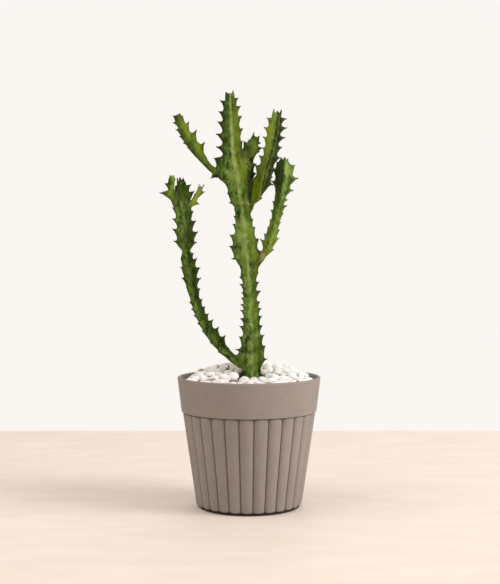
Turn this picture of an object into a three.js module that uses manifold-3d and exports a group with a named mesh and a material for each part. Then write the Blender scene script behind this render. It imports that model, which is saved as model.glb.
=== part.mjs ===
// Potted euphorbia: a three-winged, toothed succulent with a main stem and seven branches,
// rooted in potting soil under white pebbles, in a tapered pot with a reeded body.
// Millimetres, +Z up. The origin is the middle of the pot's base, and -Y is the front.
import * as THREE from 'three';
import { mergeVertices } from 'three/addons/utils/BufferGeometryUtils.js';
import Module from 'manifold-3d';

const wasm = await Module();
wasm.setup();

// ---- driving dimensions ----

const gap = 0.3; // clearance between pieces that touch

const pot = {
  height: 136.5, rimRadius: 75, rimWall: 3.4, lipRound: 0.8,
  bandBottom: 101, bandBottomRadius: 70.7,
  reedCount: 28, reedTurn: 4.4, reedShoulder: 0.25, grooveDepth: 1.6,
  reedTop: 100, reedTopRadius: 69.6, reedBottomRadius: 55.6, reedEnd: 2,
  footRadius: 53, footHeight: 2.5,
  innerRadiusAtReedTop: 66, floor: 4, floorRadius: 50, floorRound: 2,
};

const soil = { top: 118.5, crown: 2, sides: 42 };

// The pebbles' upper surface: low at the wall, domed in the middle, higher at the back.
// A shallow dip lies in front of the stem.
const mound = {
  edge: 130.5, shoulder: 8, crown: 3, backRise: 13, backReach: 36, radius: 71.5,
  dip: 2.2, dipAt: [4, -12], dipReach: 15,
};
const layerDepth = 9; // from the mound's top down to the bed that the top pebbles lie on

const pebble = {
  count: 46, innerRadius: 20, outerRadius: 60.5, lift: 0.5,
  length: [5.6, 7.2], width: [5, 6], height: [3.7, 4.2],
};

// Stems. Heights are measured from the top of the pot's foot, where its reeds end.
// path: points on the axis. girth: [height, notch radius, tooth radius] of the wings.
// turn: degrees from the front to the first wing. teeth: how many there are along each wing.
const stems = {
  main_stem: {
    path: [[3.6, 0, 92], [3.6, 0, 118], [3.6, 0, 136], [2.9, 0, 150], [2.7, 0, 167], [1.9, 0, 198.5],
      [0.8, 0, 224.7], [-0.5, 0, 245.7], [-3.1, 0, 266.7], [-6.3, 0, 303.4], [-9.4, 0, 324.4],
      [-13.1, 0, 345.3], [-17.3, 0, 371.6], [-19, 0, 400], [-19.9, 0, 428]],
    girth: [[92, 5, 5], [118, 6.5, 6.5], [134, 7.4, 7.6], [141, 9.4, 10], [150, 11, 13],
      [162, 11.7, 17.2], [183, 9.2, 13.3], [214, 7.9, 11.3], [235, 7.9, 11.2], [254, 9.6, 13.5],
      [262, 12.8, 17.5], [277, 13.4, 19], [293, 9.6, 13.3], [309, 8.6, 11.7], [324, 9.8, 12.7],
      [345, 13.6, 16], [372, 10.9, 16.6], [393, 9.9, 15.7], [414, 8.1, 13.2], [422, 6, 11],
      [428, 4.8, 8.6]],
    turn: 60, teeth: 33, color: '#5f7f35',
  },
  left_branch: {
    grows: 'main_stem',
    path: [[6, -1, 133], [1, -1, 140], [-4.5, -2, 145], [-13.5, -2.5, 150.2], [-22.1, -3.5, 157],
      [-33.4, -5.5, 170], [-45.2, -8, 187], [-52.5, -9, 202.5], [-59, -10, 229.9],
      [-61.4, -10, 245.7], [-64.5, -9, 261.4], [-66.6, -8, 289.7], [-69.8, -6, 319.1],
      [-71.9, -5, 338]],
    girth: [[133, 4.6, 4.6], [145, 5, 5], [158, 5.4, 5.8], [168, 7, 8], [176, 7.3, 8.8],
      [188, 6.5, 8], [202, 6.2, 7.7], [216, 5.6, 7.4], [230, 6.3, 8.7], [244, 8.3, 11.5],
      [254, 7.2, 10.9], [265, 5.3, 7.3], [275, 7.8, 12.7], [288, 9, 14.3], [300, 8.8, 12.7],
      [314, 8, 10.9], [327, 9, 10.9], [338, 5.5, 7]],
    turn: 60, teeth: 22, color: '#4a6b2c',
  },
  left_branch_left_shoot: {
    grows: 'left_branch',
    path: [[-69, -7, 304], [-73.5, -8.5, 311.5], [-77.4, -9.5, 317.5], [-80, -10, 324.5],
      [-80.8, -10, 332], [-80.2, -10, 341]],
    girth: [[304, 3.2, 3.2], [312, 3.2, 3.4], [318, 3.2, 6], [325, 3.3, 8.5], [334, 3.4, 5.5],
      [342, 3, 4.4]],
    turn: 60, teeth: 4, color: '#6f9138',
  },
  left_branch_right_shoot: {
    grows: 'left_branch',
    path: [[-69, -8, 304], [-63.6, -10, 311], [-58.2, -11, 317.5], [-53.6, -12, 324.5],
      [-50.6, -12, 331]],
    girth: [[302, 2.8, 2.8], [311, 2.8, 4], [318, 2.8, 4.2], [326, 3.2, 5], [332, 3, 4.4]],
    turn: 60, teeth: 3, color: '#6f9138',
  },
  upper_left_branch: {
    grows: 'main_stem',
    path: [[-8, 0, 326], [-18, -1, 337.5], [-26, 0, 344], [-32, 0.5, 347.2], [-36.5, 1, 349.2],
      [-41.2, 2, 352.4], [-46.5, 3, 359], [-51.8, 4, 366.3], [-57.2, 5, 374.7], [-63.7, 6, 384.7],
      [-69.8, 6, 395.2], [-75, 6, 407.5]],
    girth: [[326, 6, 6], [337, 5.5, 5.5], [344, 5, 6], [348, 5.2, 8.5], [353, 4.4, 5.4],
      [359, 4.1, 5], [366, 5, 6.6], [373, 6.2, 9.9], [384, 6, 9.2], [395, 5.1, 8], [409, 4.4, 5.6]],
    turn: 60, teeth: 9, color: '#57782d',
  },
  centre_shoot: {
    grows: 'main_stem',
    path: [[-12, 0, 336], [-7.5, -2, 347], [-3, -4, 358], [1, -6, 368], [4.6, -7, 377],
      [7, -7, 382.6]],
    girth: [[336, 6, 6], [347, 6.4, 7.4], [356, 6, 8.4], [370, 5.9, 9], [378, 5.4, 8], [385, 4, 5.6]],
    turn: 60, teeth: 4, color: '#4f7030',
  },
  upper_right_branch: {
    grows: 'main_stem',
    path: [[-5.6, 1, 298], [-0.6, 4, 306.5], [4.3, 7, 319.1], [9.4, 9, 330], [13.6, 10, 341],
      [17.3, 11, 352.7], [21.8, 12, 366.3], [25.3, 12, 380], [27.6, 12, 392.5], [29.6, 12, 409.5]],
    girth: [[298, 4, 4], [312, 3.6, 5], [319, 5.6, 9], [326, 7, 10], [346, 7.8, 11.5],
      [366, 7.2, 12.5], [380, 7.2, 12.5], [392, 7.9, 12.5], [403, 6.8, 10.5], [412, 4.6, 6.4]],
    turn: 0, teeth: 11, color: '#6a8a34',
  },
  right_branch: {
    grows: 'main_stem',
    path: [[2, -1, 244], [7.6, -4, 251.5], [13, -7, 258.5], [18, -9, 266.5], [21.2, -10, 274.5],
      [24.4, -11, 286], [29.2, -12, 307], [32, -13, 320], [34.3, -13, 332], [36.3, -13, 346],
      [37.2, -13, 359]],
    girth: [[242, 4, 4], [252, 4, 4], [260, 3.7, 4], [268, 4.9, 6.4], [276, 6.7, 10],
      [285, 6, 8.8], [296, 5, 6.8], [306, 5.2, 7], [316, 5.7, 9], [327, 6.9, 12],
      [340, 9.6, 15.2], [352, 9, 12.6], [360, 5, 6.4]],
    turn: -5, teeth: 12, color: '#4d6d2a',
  },
};

const wing = { count: 3, valley: 0.4, sharpness: 3, toothTilt: 0.6, hornRise: 2, troughDepth: 2 };

const colors = {
  pot: '#8c7b6d', soil: '#3b2c22', bed: '#cfc5b9', pebbles: ['#f2efeb', '#e6e0d8', '#cbbfae'],
};
const roughness = { pot: 0.7, soil: 0.95, bed: 0.8, pebbles: 0.6, stems: 0.55 };

// ---- helpers ----

function mixed(range, share) {
  return range[0] + (range[1] - range[0]) * share;
}

// The part after the decimal point of a large product: an even, repeatable spread from 0 to 1.
function scattered(index, salt) {
  const value = Math.sin(index * 12.9898 + salt * 78.233) * 43758.5453;
  return value - Math.floor(value);
}

// One closed skin: shared vertices are merged, and triangles with no area are dropped.
function welded(geometry) {
  geometry.deleteAttribute('normal');
  geometry.deleteAttribute('uv');
  const merged = mergeVertices(geometry, 1e-4);
  const index = merged.index.array;
  const kept = [];
  for (let i = 0; i < index.length; i += 3) {
    const [a, b, c] = [index[i], index[i + 1], index[i + 2]];
    if (a !== b && b !== c && c !== a) kept.push(a, b, c);
  }
  merged.setIndex(kept);
  return merged;
}

function solidFrom(geometry) {
  const skin = welded(geometry.clone());
  return new wasm.Manifold(new wasm.Mesh({
    numProp: 3,
    vertProperties: new Float32Array(skin.attributes.position.array),
    triVerts: new Uint32Array(skin.index.array),
  }));
}

// The largest body left by a cut, back as a geometry.
function geometryFrom(solid) {
  const bodies = solid.decompose().sort((a, b) => b.volume() - a.volume());
  const mesh = bodies[0].getMesh();
  const geometry = new THREE.BufferGeometry();
  geometry.setAttribute('position', new THREE.BufferAttribute(mesh.vertProperties, mesh.numProp));
  geometry.setIndex(new THREE.BufferAttribute(mesh.triVerts, 1));
  return geometry;
}

// A profile of [radius, height] points, turned about +Z. It runs up the outside and down the inside.
function turned(profile, sides) {
  const points = profile.map(([radius, height]) => new THREE.Vector2(radius, height));
  return new THREE.LatheGeometry(points, sides).rotateX(Math.PI / 2);
}

// Piecewise straight values over height, from rows of [height, first, second].
function girthAt(rows, height) {
  const last = rows.length - 1;
  let row = rows.findIndex((r) => r[0] > height);
  if (row < 0) row = last;
  row = Math.max(row, 1);
  const [low, high] = [rows[row - 1], rows[row]];
  const share = THREE.MathUtils.clamp((height - low[0]) / (high[0] - low[0]), 0, 1);
  return { notch: mixed([low[1], high[1]], share), tooth: mixed([low[2], high[2]], share) };
}

// ---- pot ----

function innerRadiusAt(height) {
  const rimInner = pot.rimRadius - pot.rimWall;
  if (height >= pot.reedTop) {
    const share = (height - pot.reedTop) / (pot.height - pot.lipRound * 2 - pot.reedTop);
    return mixed([pot.innerRadiusAtReedTop, rimInner], share);
  }
  const low = pot.floor + pot.floorRound;
  const share = (height - low) / (pot.reedTop - low);
  return mixed([pot.floorRadius + pot.floorRound, pot.innerRadiusAtReedTop], share);
}

function makePot() {
  const rimInner = pot.rimRadius - pot.rimWall;
  const lipStart = pot.height - pot.lipRound * 2;
  const reedLow = pot.footHeight + pot.reedEnd;
  const reedHigh = pot.reedTop - pot.reedEnd;
  const profile = [
    [0, 0], [pot.footRadius, 0], [pot.footRadius, pot.footHeight],
    [pot.reedBottomRadius - 1, pot.footHeight],
    [pot.reedBottomRadius, reedLow], [pot.reedTopRadius - 0.2, reedHigh],
    [pot.reedTopRadius, pot.reedTop],
    [pot.bandBottomRadius, pot.bandBottom], [pot.rimRadius, lipStart],
    [pot.rimRadius - pot.lipRound, pot.height], [rimInner + pot.lipRound, pot.height],
    [rimInner, lipStart], [pot.innerRadiusAtReedTop, pot.reedTop],
    [pot.floorRadius + pot.floorRound, pot.floor + pot.floorRound],
    [pot.floorRadius, pot.floor], [0, pot.floor],
  ];
  const pointsPerReed = 3;
  const sides = pot.reedCount * pointsPerReed;
  const step = (2 * Math.PI) / pot.reedCount;
  const places = [0, pot.reedShoulder, 1 - pot.reedShoulder];
  const geometry = turned(profile, sides);
  const position = geometry.attributes.position;
  for (let side = 0; side <= sides; side++) {
    const reed = Math.floor(side / pointsPerReed) % pot.reedCount;
    const place = side % pointsPerReed;
    const angle = step * (reed + places[place]) + THREE.MathUtils.degToRad(pot.reedTurn);
    profile.forEach(([radius, height], point) => {
      const fluted = height >= reedLow && height <= reedHigh && radius > innerRadiusAt(height) + 1;
      const depth = fluted && place === 0 ? pot.grooveDepth : 0;
      const reach = radius - depth;
      position.setXY(side * profile.length + point, reach * Math.sin(angle), -reach * Math.cos(angle));
    });
  }
  return geometry;
}

// ---- winged stems ----

// A cylinder whose rows follow the path. A row's radius is the valley plus a share of the wing
// that is 1 on each wing and falls off with the cosine of three times the angle. Rows alternate
// between the notches and the teeth. The top row is lifted into horns round a shallow trough.
function wingedStem(stem, grow = 0) {
  const points = stem.path.map(([x, y, height]) => new THREE.Vector3(x, y, height + pot.footHeight));
  const curve = new THREE.CatmullRomCurve3(points);
  const rows = stem.teeth * 2;
  const sides = wing.count * 4;
  const geometry = new THREE.CylinderGeometry(1, 1, 1, sides, rows);
  const position = geometry.attributes.position;
  const front = new THREE.Vector3(0, -1, 0);
  const firstWing = THREE.MathUtils.degToRad(stem.turn);
  for (let i = 0; i < position.count; i++) {
    const row = Math.round((position.getY(i) + 0.5) * rows);
    const isTooth = row % 2 === 1;
    const share = isTooth ? (row - 1 + 2 * wing.toothTilt) / rows : row / rows;
    const centre = curve.getPointAt(share);
    const along = curve.getTangentAt(share);
    const ahead = front.clone().addScaledVector(along, -front.dot(along)).normalize();
    const aside = new THREE.Vector3().crossVectors(along, ahead);
    const angle = Math.atan2(position.getX(i), position.getZ(i));
    const onSkin = Math.hypot(position.getX(i), position.getZ(i)) > 0.5;
    const isTop = row === rows;
    const girth = girthAt(stem.girth, centre.z - pot.footHeight);
    const reach = isTooth || isTop ? girth.tooth : girth.notch;
    const near = (1 + Math.cos(wing.count * (angle - firstWing))) / 2;
    const wingShare = near ** wing.sharpness;
    const valley = girth.notch * wing.valley;
    const radius = onSkin ? valley + (reach - valley) * wingShare + grow : 0;
    const rise = isTop ? wing.hornRise * wingShare - (onSkin ? 0 : wing.troughDepth) : 0;
    centre.addScaledVector(ahead, radius * Math.cos(angle));
    centre.addScaledVector(aside, radius * Math.sin(angle));
    centre.addScaledVector(along, rise);
    position.setXYZ(i, centre.x, centre.y, centre.z);
  }
  return geometry;
}

// ---- soil, pebble bed and pebbles ----

function moundHeight(x, y) {
  const radius = Math.hypot(x, y);
  const crown = 1 - (radius / mound.radius) ** 2;
  const shoulder = 1 - (radius / mound.radius) ** 6;
  const back = THREE.MathUtils.clamp(y / mound.backReach, -0.5, 1);
  const fromDip = Math.hypot(x - mound.dipAt[0], y - mound.dipAt[1]) / mound.dipReach;
  const dome = mound.shoulder * shoulder + (mound.crown + mound.backRise * back) * crown;
  return mound.edge + dome - mound.dip * Math.exp(-(fromDip ** 2));
}

function bedHeight(x, y) {
  return moundHeight(x, y) - layerDepth;
}

function makeSoil() {
  const wallGap = gap * 1.5;
  const low = pot.floor + gap;
  const profile = [
    [0, low], [pot.floorRadius - gap, low],
    [innerRadiusAt(low + pot.floorRound) - wallGap, low + pot.floorRound],
    [innerRadiusAt(pot.reedTop) - wallGap, pot.reedTop],
    [innerRadiusAt(soil.top) - wallGap, soil.top], [0, soil.top + soil.crown],
  ];
  return turned(profile, soil.sides);
}

// The lower pebbles as one layer. Its rings from the wall inwards are set to the bed's height.
function makePebbleBed() {
  const wallGap = gap * 1.5;
  const rings = [0.985, 0.93, 0.86, 0.77, 0.66, 0.54, 0.42, 0.3, 0.16, 0];
  const edge = innerRadiusAt(soil.top + gap) - wallGap;
  const profile = [[0, soil.top + soil.crown + gap], [edge, soil.top + gap]];
  rings.forEach((share) => profile.push([edge * share, soil.top + soil.crown + 1]));
  const geometry = turned(profile, soil.sides);
  const position = geometry.attributes.position;
  for (let i = 0; i < position.count; i++) {
    if (i % profile.length < profile.length - rings.length) continue;
    position.setZ(i, bedHeight(position.getX(i), position.getY(i)));
  }
  return geometry;
}

// Pebbles lie on a sunflower spiral, flat on the slope of the bed, each turned its own way.
function makePebble(index) {
  const goldenAngle = Math.PI * (3 - Math.sqrt(5));
  const share = (index + 0.5) / pebble.count;
  const radius = Math.sqrt(mixed([pebble.innerRadius ** 2, pebble.outerRadius ** 2], share));
  const angle = index * goldenAngle;
  const [x, y] = [radius * Math.cos(angle), radius * Math.sin(angle)];
  const slopeX = bedHeight(x + 0.5, y) - bedHeight(x - 0.5, y);
  const slopeY = bedHeight(x, y + 0.5) - bedHeight(x, y - 0.5);
  const up = new THREE.Vector3(-slopeX, -slopeY, 1).normalize();
  const half = [pebble.length, pebble.width, pebble.height].map((r, k) => mixed(r, scattered(index, k)));
  const geometry = new THREE.IcosahedronGeometry(1, 1).scale(...half);
  geometry.rotateZ(scattered(index, 3) * Math.PI);
  geometry.applyQuaternion(new THREE.Quaternion().setFromUnitVectors(new THREE.Vector3(0, 0, 1), up));
  const middle = new THREE.Vector3(x, y, bedHeight(x, y)).addScaledVector(up, half[2] + pebble.lift);
  return geometry.translate(middle.x, middle.y, middle.z);
}

// ---- assembly ----

const plant = new THREE.Group();
const pottedEuphorbia = new THREE.Group();
pottedEuphorbia.add(plant);

function add(group, name, geometry, color, rough) {
  const material = new THREE.MeshStandardMaterial({ color, roughness: rough, metalness: 0 });
  const mesh = new THREE.Mesh(welded(geometry), material);
  mesh.name = name;
  group.add(mesh);
}

const grownStems = {};
for (const [name, stem] of Object.entries(stems)) {
  grownStems[name] = solidFrom(wingedStem(stem, gap));
  if (!stem.grows) {
    add(plant, name, wingedStem(stem), stem.color, roughness.stems);
    continue;
  }
  const cut = solidFrom(wingedStem(stem)).subtract(grownStems[stem.grows]);
  add(plant, name, geometryFrom(cut), stem.color, roughness.stems);
}

// Soil and pebble bed are pierced by the foot of the plant.
const foot = grownStems.main_stem.add(grownStems.left_branch);
const soilAroundFoot = geometryFrom(solidFrom(makeSoil()).subtract(foot));
const bedAroundFoot = geometryFrom(solidFrom(makePebbleBed()).subtract(foot));
add(pottedEuphorbia, 'pot', makePot(), colors.pot, roughness.pot);
add(pottedEuphorbia, 'potting_soil', soilAroundFoot, colors.soil, roughness.soil);
add(pottedEuphorbia, 'pebble_bed', bedAroundFoot, colors.bed, roughness.bed);

for (let index = 0; index < pebble.count; index++) {
  const name = `pebble_${String(index + 1).padStart(2, '0')}`;
  const color = colors.pebbles[index % colors.pebbles.length];
  add(pottedEuphorbia, name, makePebble(index), color, roughness.pebbles);
}

export default pottedEuphorbia;
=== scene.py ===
import math
import bpy
import numpy as np
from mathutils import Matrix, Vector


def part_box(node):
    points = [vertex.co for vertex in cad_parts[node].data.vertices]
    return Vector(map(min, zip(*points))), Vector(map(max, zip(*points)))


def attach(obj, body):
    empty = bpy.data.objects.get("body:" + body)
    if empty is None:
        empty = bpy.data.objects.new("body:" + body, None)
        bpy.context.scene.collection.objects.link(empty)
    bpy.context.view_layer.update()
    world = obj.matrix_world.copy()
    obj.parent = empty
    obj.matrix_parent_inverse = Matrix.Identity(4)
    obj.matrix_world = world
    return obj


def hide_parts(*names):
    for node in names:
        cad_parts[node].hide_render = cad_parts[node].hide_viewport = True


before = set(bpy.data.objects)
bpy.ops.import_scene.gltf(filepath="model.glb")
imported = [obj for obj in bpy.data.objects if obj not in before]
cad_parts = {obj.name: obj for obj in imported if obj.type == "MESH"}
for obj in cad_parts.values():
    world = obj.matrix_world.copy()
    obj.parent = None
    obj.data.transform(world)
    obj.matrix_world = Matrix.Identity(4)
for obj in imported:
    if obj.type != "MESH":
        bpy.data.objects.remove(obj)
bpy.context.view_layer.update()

mm = 0.001
seeds = {"stems": 40, "spines": 80, "pebbles": 12}   # the first seed of each kind of random draw
golden = math.pi * (3 - math.sqrt(5))   # the turn from seed to seed of a sunflower


# shader helpers

fleckShare = 0.35   # how much the flecks of a mottle count beside its patches


def tone(red, green, blue):
    # a colour as seen on a screen, 0 to 255, in the linear light that shaders use
    screen = np.array([red, green, blue]) / 255
    linear = np.where(screen <= 0.04045, screen / 12.92, ((screen + 0.055) / 1.055) ** 2.4)
    return (*linear.tolist(), 1.0)


def tonesOf(finish):
    return {key: tone(*color) for key, color in finish["tones"].items()}


def connect(tree, socket, value):
    # value: another node's socket, or a fixed value
    if isinstance(value, bpy.types.NodeSocket):
        tree.links.new(value, socket)
    else:
        socket.default_value = value


def node(tree, kind, inputs=None, **settings):
    made = tree.nodes.new(kind)
    for key, value in settings.items():
        setattr(made, key, value)
    for key, value in (inputs or {}).items():
        connect(tree, made.inputs[key], value)
    return made


def blend(tree, factor, first, second):
    # colour mix
    return node(tree, "ShaderNodeMix", {0: factor, 6: first, 7: second}, data_type="RGBA").outputs[2]


def ramp(tree, value, low, high, outLow=0.0, outHigh=1.0):
    # smooth step from low to high
    step = {"Value": value, "From Min": low, "From Max": high, "To Min": outLow, "To Max": outHigh}
    return node(tree, "ShaderNodeMapRange", step, interpolation_type="SMOOTHSTEP").outputs["Result"]


def maths(tree, operation, first, second):
    return node(tree, "ShaderNodeMath", {0: first, 1: second}, operation=operation).outputs[0]


def newGroup(name, inputs, outputs):
    group = bpy.data.node_groups.new(name, "ShaderNodeTree")
    for label, kind, value in inputs:
        group.interface.new_socket(label, in_out="INPUT", socket_type=kind).default_value = value
    for label, kind in outputs:
        group.interface.new_socket(label, in_out="OUTPUT", socket_type=kind)
    return group, node(group, "NodeGroupInput").outputs, node(group, "NodeGroupOutput").inputs


def makeMottle():
    # two colours in soft patches, broken up by finer flecks
    group, given, result = newGroup("mottle", [
        ("Base", "NodeSocketColor", (1, 1, 1, 1)), ("Patch", "NodeSocketColor", (0, 0, 0, 1)),
        ("Patch Scale", "NodeSocketFloat", 100), ("Fleck Scale", "NodeSocketFloat", 700),
        ("Low", "NodeSocketFloat", 0.42), ("High", "NodeSocketFloat", 0.62),
        ("Stretch", "NodeSocketVector", (1, 1, 1)),
    ], [("Color", "NodeSocketColor"), ("Mask", "NodeSocketFloat")])
    place = node(group, "ShaderNodeTexCoord").outputs["Object"]
    drawn = node(group, "ShaderNodeVectorMath", {0: place, 1: given["Stretch"]}, operation="MULTIPLY")
    patches, flecks = (node(group, "ShaderNodeTexNoise", {
        "Vector": drawn.outputs["Vector"], "Scale": given[scale], "Detail": detail, "Roughness": 0.6,
        "Distortion": bend}).outputs["Fac"]
        for scale, detail, bend in (("Patch Scale", 3, 0.4), ("Fleck Scale", 2, 0)))
    both = maths(group, "ADD", patches, maths(group, "MULTIPLY", flecks, fleckShare))
    mask = ramp(group, maths(group, "DIVIDE", both, 1 + fleckShare), given["Low"], given["High"])
    connect(group, result["Color"], blend(group, mask, given["Base"], given["Patch"]))
    connect(group, result["Mask"], mask)
    return group


def makeGrain():
    # fine height noise, for bump and for a little change in roughness
    group, given, result = newGroup("grain", [
        ("Scale", "NodeSocketFloat", 900), ("Rough Low", "NodeSocketFloat", 0.5),
        ("Rough High", "NodeSocketFloat", 0.65),
    ], [("Height", "NodeSocketFloat"), ("Roughness", "NodeSocketFloat")])
    place = node(group, "ShaderNodeTexCoord").outputs["Object"]
    noise = node(group, "ShaderNodeTexNoise", {
        "Vector": place, "Scale": given["Scale"], "Detail": 4, "Roughness": 0.55}).outputs["Fac"]
    spread = node(group, "ShaderNodeMapRange", {
        "Value": noise, "To Min": given["Rough Low"], "To Max": given["Rough High"]})
    connect(group, result["Height"], noise)
    connect(group, result["Roughness"], spread.outputs["Result"])
    return group


mottle = makeMottle()
grain = makeGrain()


def attribute(tree, name):
    return node(tree, "ShaderNodeAttribute", attribute_name=name).outputs["Fac"]


def newMaterial(name):
    material = bpy.data.materials.new(name)
    material.use_nodes = True
    return material, material.node_tree, material.node_tree.nodes["Principled BSDF"]


def mottling(tree, values, base=(1, 1, 1, 1), patch=(0, 0, 0, 1)):
    # values: the scales of patches and flecks, the low and high limit of the mask, and how much
    # height counts, where less than 1 draws the patches out upwards
    patchScale, fleckScale, low, high, rise = values
    return node(tree, "ShaderNodeGroup", {
        "Base": base, "Patch": patch, "Patch Scale": patchScale, "Fleck Scale": fleckScale,
        "Low": low, "High": high, "Stretch": (1, 1, rise)}, node_tree=mottle).outputs


def dress(tree, shader, color, finish, lumps=None):
    # the colour, a fine-grained roughness, and a bump of the grain and of any coarser lumps
    rough = finish["roughness"]
    fine = node(tree, "ShaderNodeGroup", {
        "Scale": finish["grain"], "Rough Low": rough[0], "Rough High": rough[1]}, node_tree=grain)
    connect(tree, shader.inputs["Base Color"], color)
    connect(tree, shader.inputs["Roughness"], fine.outputs["Roughness"])
    height = fine.outputs["Height"]
    if lumps is not None:
        height = maths(tree, "ADD", height, lumps)
    if "bump" in finish:
        strength, distance = finish["bump"]
        bump = node(tree, "ShaderNodeBump", {"Height": height, "Strength": strength, "Distance": distance})
        connect(tree, shader.inputs["Normal"], bump.outputs["Normal"])


# camera and light

shot = {
    "focalPixels": 1150, "longSidePixels": 584, "sensorMm": 36, "nearestMetres": 0.01,
    "place": (1.05, -1206, 260.5), "downDegrees": 1.69,
}
backdrop = {"seen": (250, 246, 242), "seenStrength": 1.0, "glow": (255, 248, 240), "glowStrength": 0.6}
lamps = {   # place, size and watts, and the colour of the light
    "keyLight": {"at": (2.2, -0.8, 1.4), "size": 1.5, "watts": 49, "tint": (1.0, 0.99, 0.985)},
    "topFill": {"at": (-0.9, -0.35, 1.5), "size": 1.3, "watts": 7, "tint": (1.0, 0.975, 0.95)},
    "rearGlow": {"at": (0.2, 1.2, 1.3), "size": 1.0, "watts": 3, "tint": (1.0, 0.98, 0.95)},
}
aimPoint = np.array([0, 0, 0.2])   # the lamps face it


def placeCamera():
    data = bpy.data.cameras.new("frontCamera")
    data.lens = shot["focalPixels"] / shot["longSidePixels"] * shot["sensorMm"]
    data.sensor_width = shot["sensorMm"]
    data.clip_start = shot["nearestMetres"]
    camera = bpy.data.objects.new("frontCamera", data)
    camera.location = [v * mm for v in shot["place"]]
    camera.rotation_euler = (math.radians(90 - shot["downDegrees"]), 0, 0)
    bpy.context.collection.objects.link(camera)
    bpy.context.scene.camera = camera


def placeLamps():
    for name, lamp in lamps.items():
        data = bpy.data.lights.new(name, "AREA")
        data.shape = "DISK"
        data.size = lamp["size"]
        data.energy = lamp["watts"]
        data.color = lamp["tint"]
        light = bpy.data.objects.new(name, data)
        light.location = lamp["at"]
        reach = np.array(lamp["at"]) - aimPoint
        flat = math.hypot(reach[0], reach[1])
        light.rotation_euler = (math.atan2(flat, reach[2]), 0, math.atan2(reach[0], -reach[1]))
        bpy.context.collection.objects.link(light)


def paleWorld():
    # the camera sees a plain pale backdrop, and the object is lit by a dimmer glow all round
    world = bpy.data.worlds.new("paleStudio")
    world.use_nodes = True
    tree = world.node_tree
    plain = tree.nodes["Background"]
    glow = node(tree, "ShaderNodeBackground")
    for shader, name in ((plain, "seen"), (glow, "glow")):
        shader.inputs["Color"].default_value = tone(*backdrop[name])
        shader.inputs["Strength"].default_value = backdrop[name + "Strength"]
    path = node(tree, "ShaderNodeLightPath")
    either = node(tree, "ShaderNodeMixShader", {
        0: path.outputs["Is Camera Ray"], 1: glow.outputs[0], 2: plain.outputs[0]})
    connect(tree, tree.nodes["World Output"].inputs["Surface"], either.outputs[0])
    bpy.context.scene.world = world
    bpy.context.scene.view_settings.view_transform = "Standard"


placeCamera()
placeLamps()
paleWorld()
print("camera and light are set")


# mesh helpers

def closedForms(name, grid, ends, values=None):
    # grid: (forms, rows, columns, 3), rows running up and columns turning anticlockwise seen from
    # above. ends: (forms, 2, 3), the points that close the first and the last row. values: numbers
    # (forms, rows, columns) kept on the points; an end takes the mean of the row next to it.
    forms, rows, columns, _ = grid.shape
    perForm = rows * columns + 2
    points = np.concatenate([grid.reshape(forms, -1, 3), ends], axis=1).reshape(-1, 3)
    row, column = np.meshgrid(np.arange(rows - 1), np.arange(columns), indexing="ij")
    after = (column + 1) % columns
    quads = np.stack([row * columns + column, row * columns + after,
                      (row + 1) * columns + after, (row + 1) * columns + column], axis=-1).reshape(-1, 4)
    around = np.arange(columns)
    last = (rows - 1) * columns
    low = np.stack([np.full(columns, perForm - 2), (around + 1) % columns, around], axis=-1)
    high = np.stack([np.full(columns, perForm - 1), last + around, last + (around + 1) % columns], axis=-1)
    shift = (np.arange(forms) * perForm)[:, None, None]
    quads = (quads[None] + shift).reshape(-1, 4)
    fans = (np.concatenate([low, high])[None] + shift).reshape(-1, 3)
    mesh = bpy.data.meshes.new(name)
    mesh.vertices.add(len(points))
    mesh.vertices.foreach_set("co", points.astype(np.float32).ravel())
    corners = np.concatenate([quads.ravel(), fans.ravel()])
    mesh.loops.add(len(corners))
    mesh.loops.foreach_set("vertex_index", corners.astype(np.int32))
    starts = np.concatenate([np.arange(len(quads)) * 4, len(quads) * 4 + np.arange(len(fans)) * 3])
    mesh.polygons.add(len(starts))
    mesh.polygons.foreach_set("loop_start", starts.astype(np.int32))
    mesh.polygons.foreach_set("use_smooth", np.ones(len(starts), dtype=bool))
    mesh.update(calc_edges=True)
    for label, numbers in (values or {}).items():
        numbers = np.broadcast_to(numbers, (forms, rows, columns))
        closing = np.stack([numbers[:, 0].mean(axis=1), numbers[:, -1].mean(axis=1)], axis=1)
        full = np.concatenate([numbers.reshape(forms, -1), closing], axis=1)
        layer = mesh.attributes.new(label, "FLOAT", "POINT")
        layer.data.foreach_set("value", full.astype(np.float32).ravel())
    piece = bpy.data.objects.new(name, mesh)
    bpy.context.collection.objects.link(piece)
    return piece


def settle(piece, material, slot, *nodes):
    # finish a piece: its material, the body it rides on, and the parts it stands for
    piece.data.materials.append(material)
    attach(piece, "root")
    if nodes:
        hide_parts(*nodes)


def unit(vectors):
    # the same directions at length 1
    return vectors / np.linalg.norm(vectors, axis=-1, keepdims=True)


def smoothStep(low, high, value):
    # 0 up to low and 1 from high; between them three squares less two cubes of the share
    t = np.clip((value - low) / (high - low), 0, 1)
    return t * t * (3 - 2 * t)


def bell(away, reach):
    # 1 in the middle, and less with the square of the distance
    return np.exp(-(away / reach) ** 2)


def turnsOf(sides):
    # even angles round a full turn
    return np.arange(sides) * 2 * math.pi / sides


def ringAround(across, over, sides):
    # spokes of length 1 round a line, from its two cross directions
    turn = turnsOf(sides)[:, None]
    return across[..., None, :] * np.cos(turn) + over[..., None, :] * np.sin(turn)


# floor

floorPlan = {
    "halfWidth": 1.7, "backEdge": 0.521, "frontEdge": -2.4, "tones": ((238, 224, 212), (243, 231, 221)),
    "cloudStretch": (5, 14, 1), "cloudScale": 2.4, "cloudLimits": (0.3, 0.7), "roughness": 0.6,
    "specular": 0.25,
}


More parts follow.
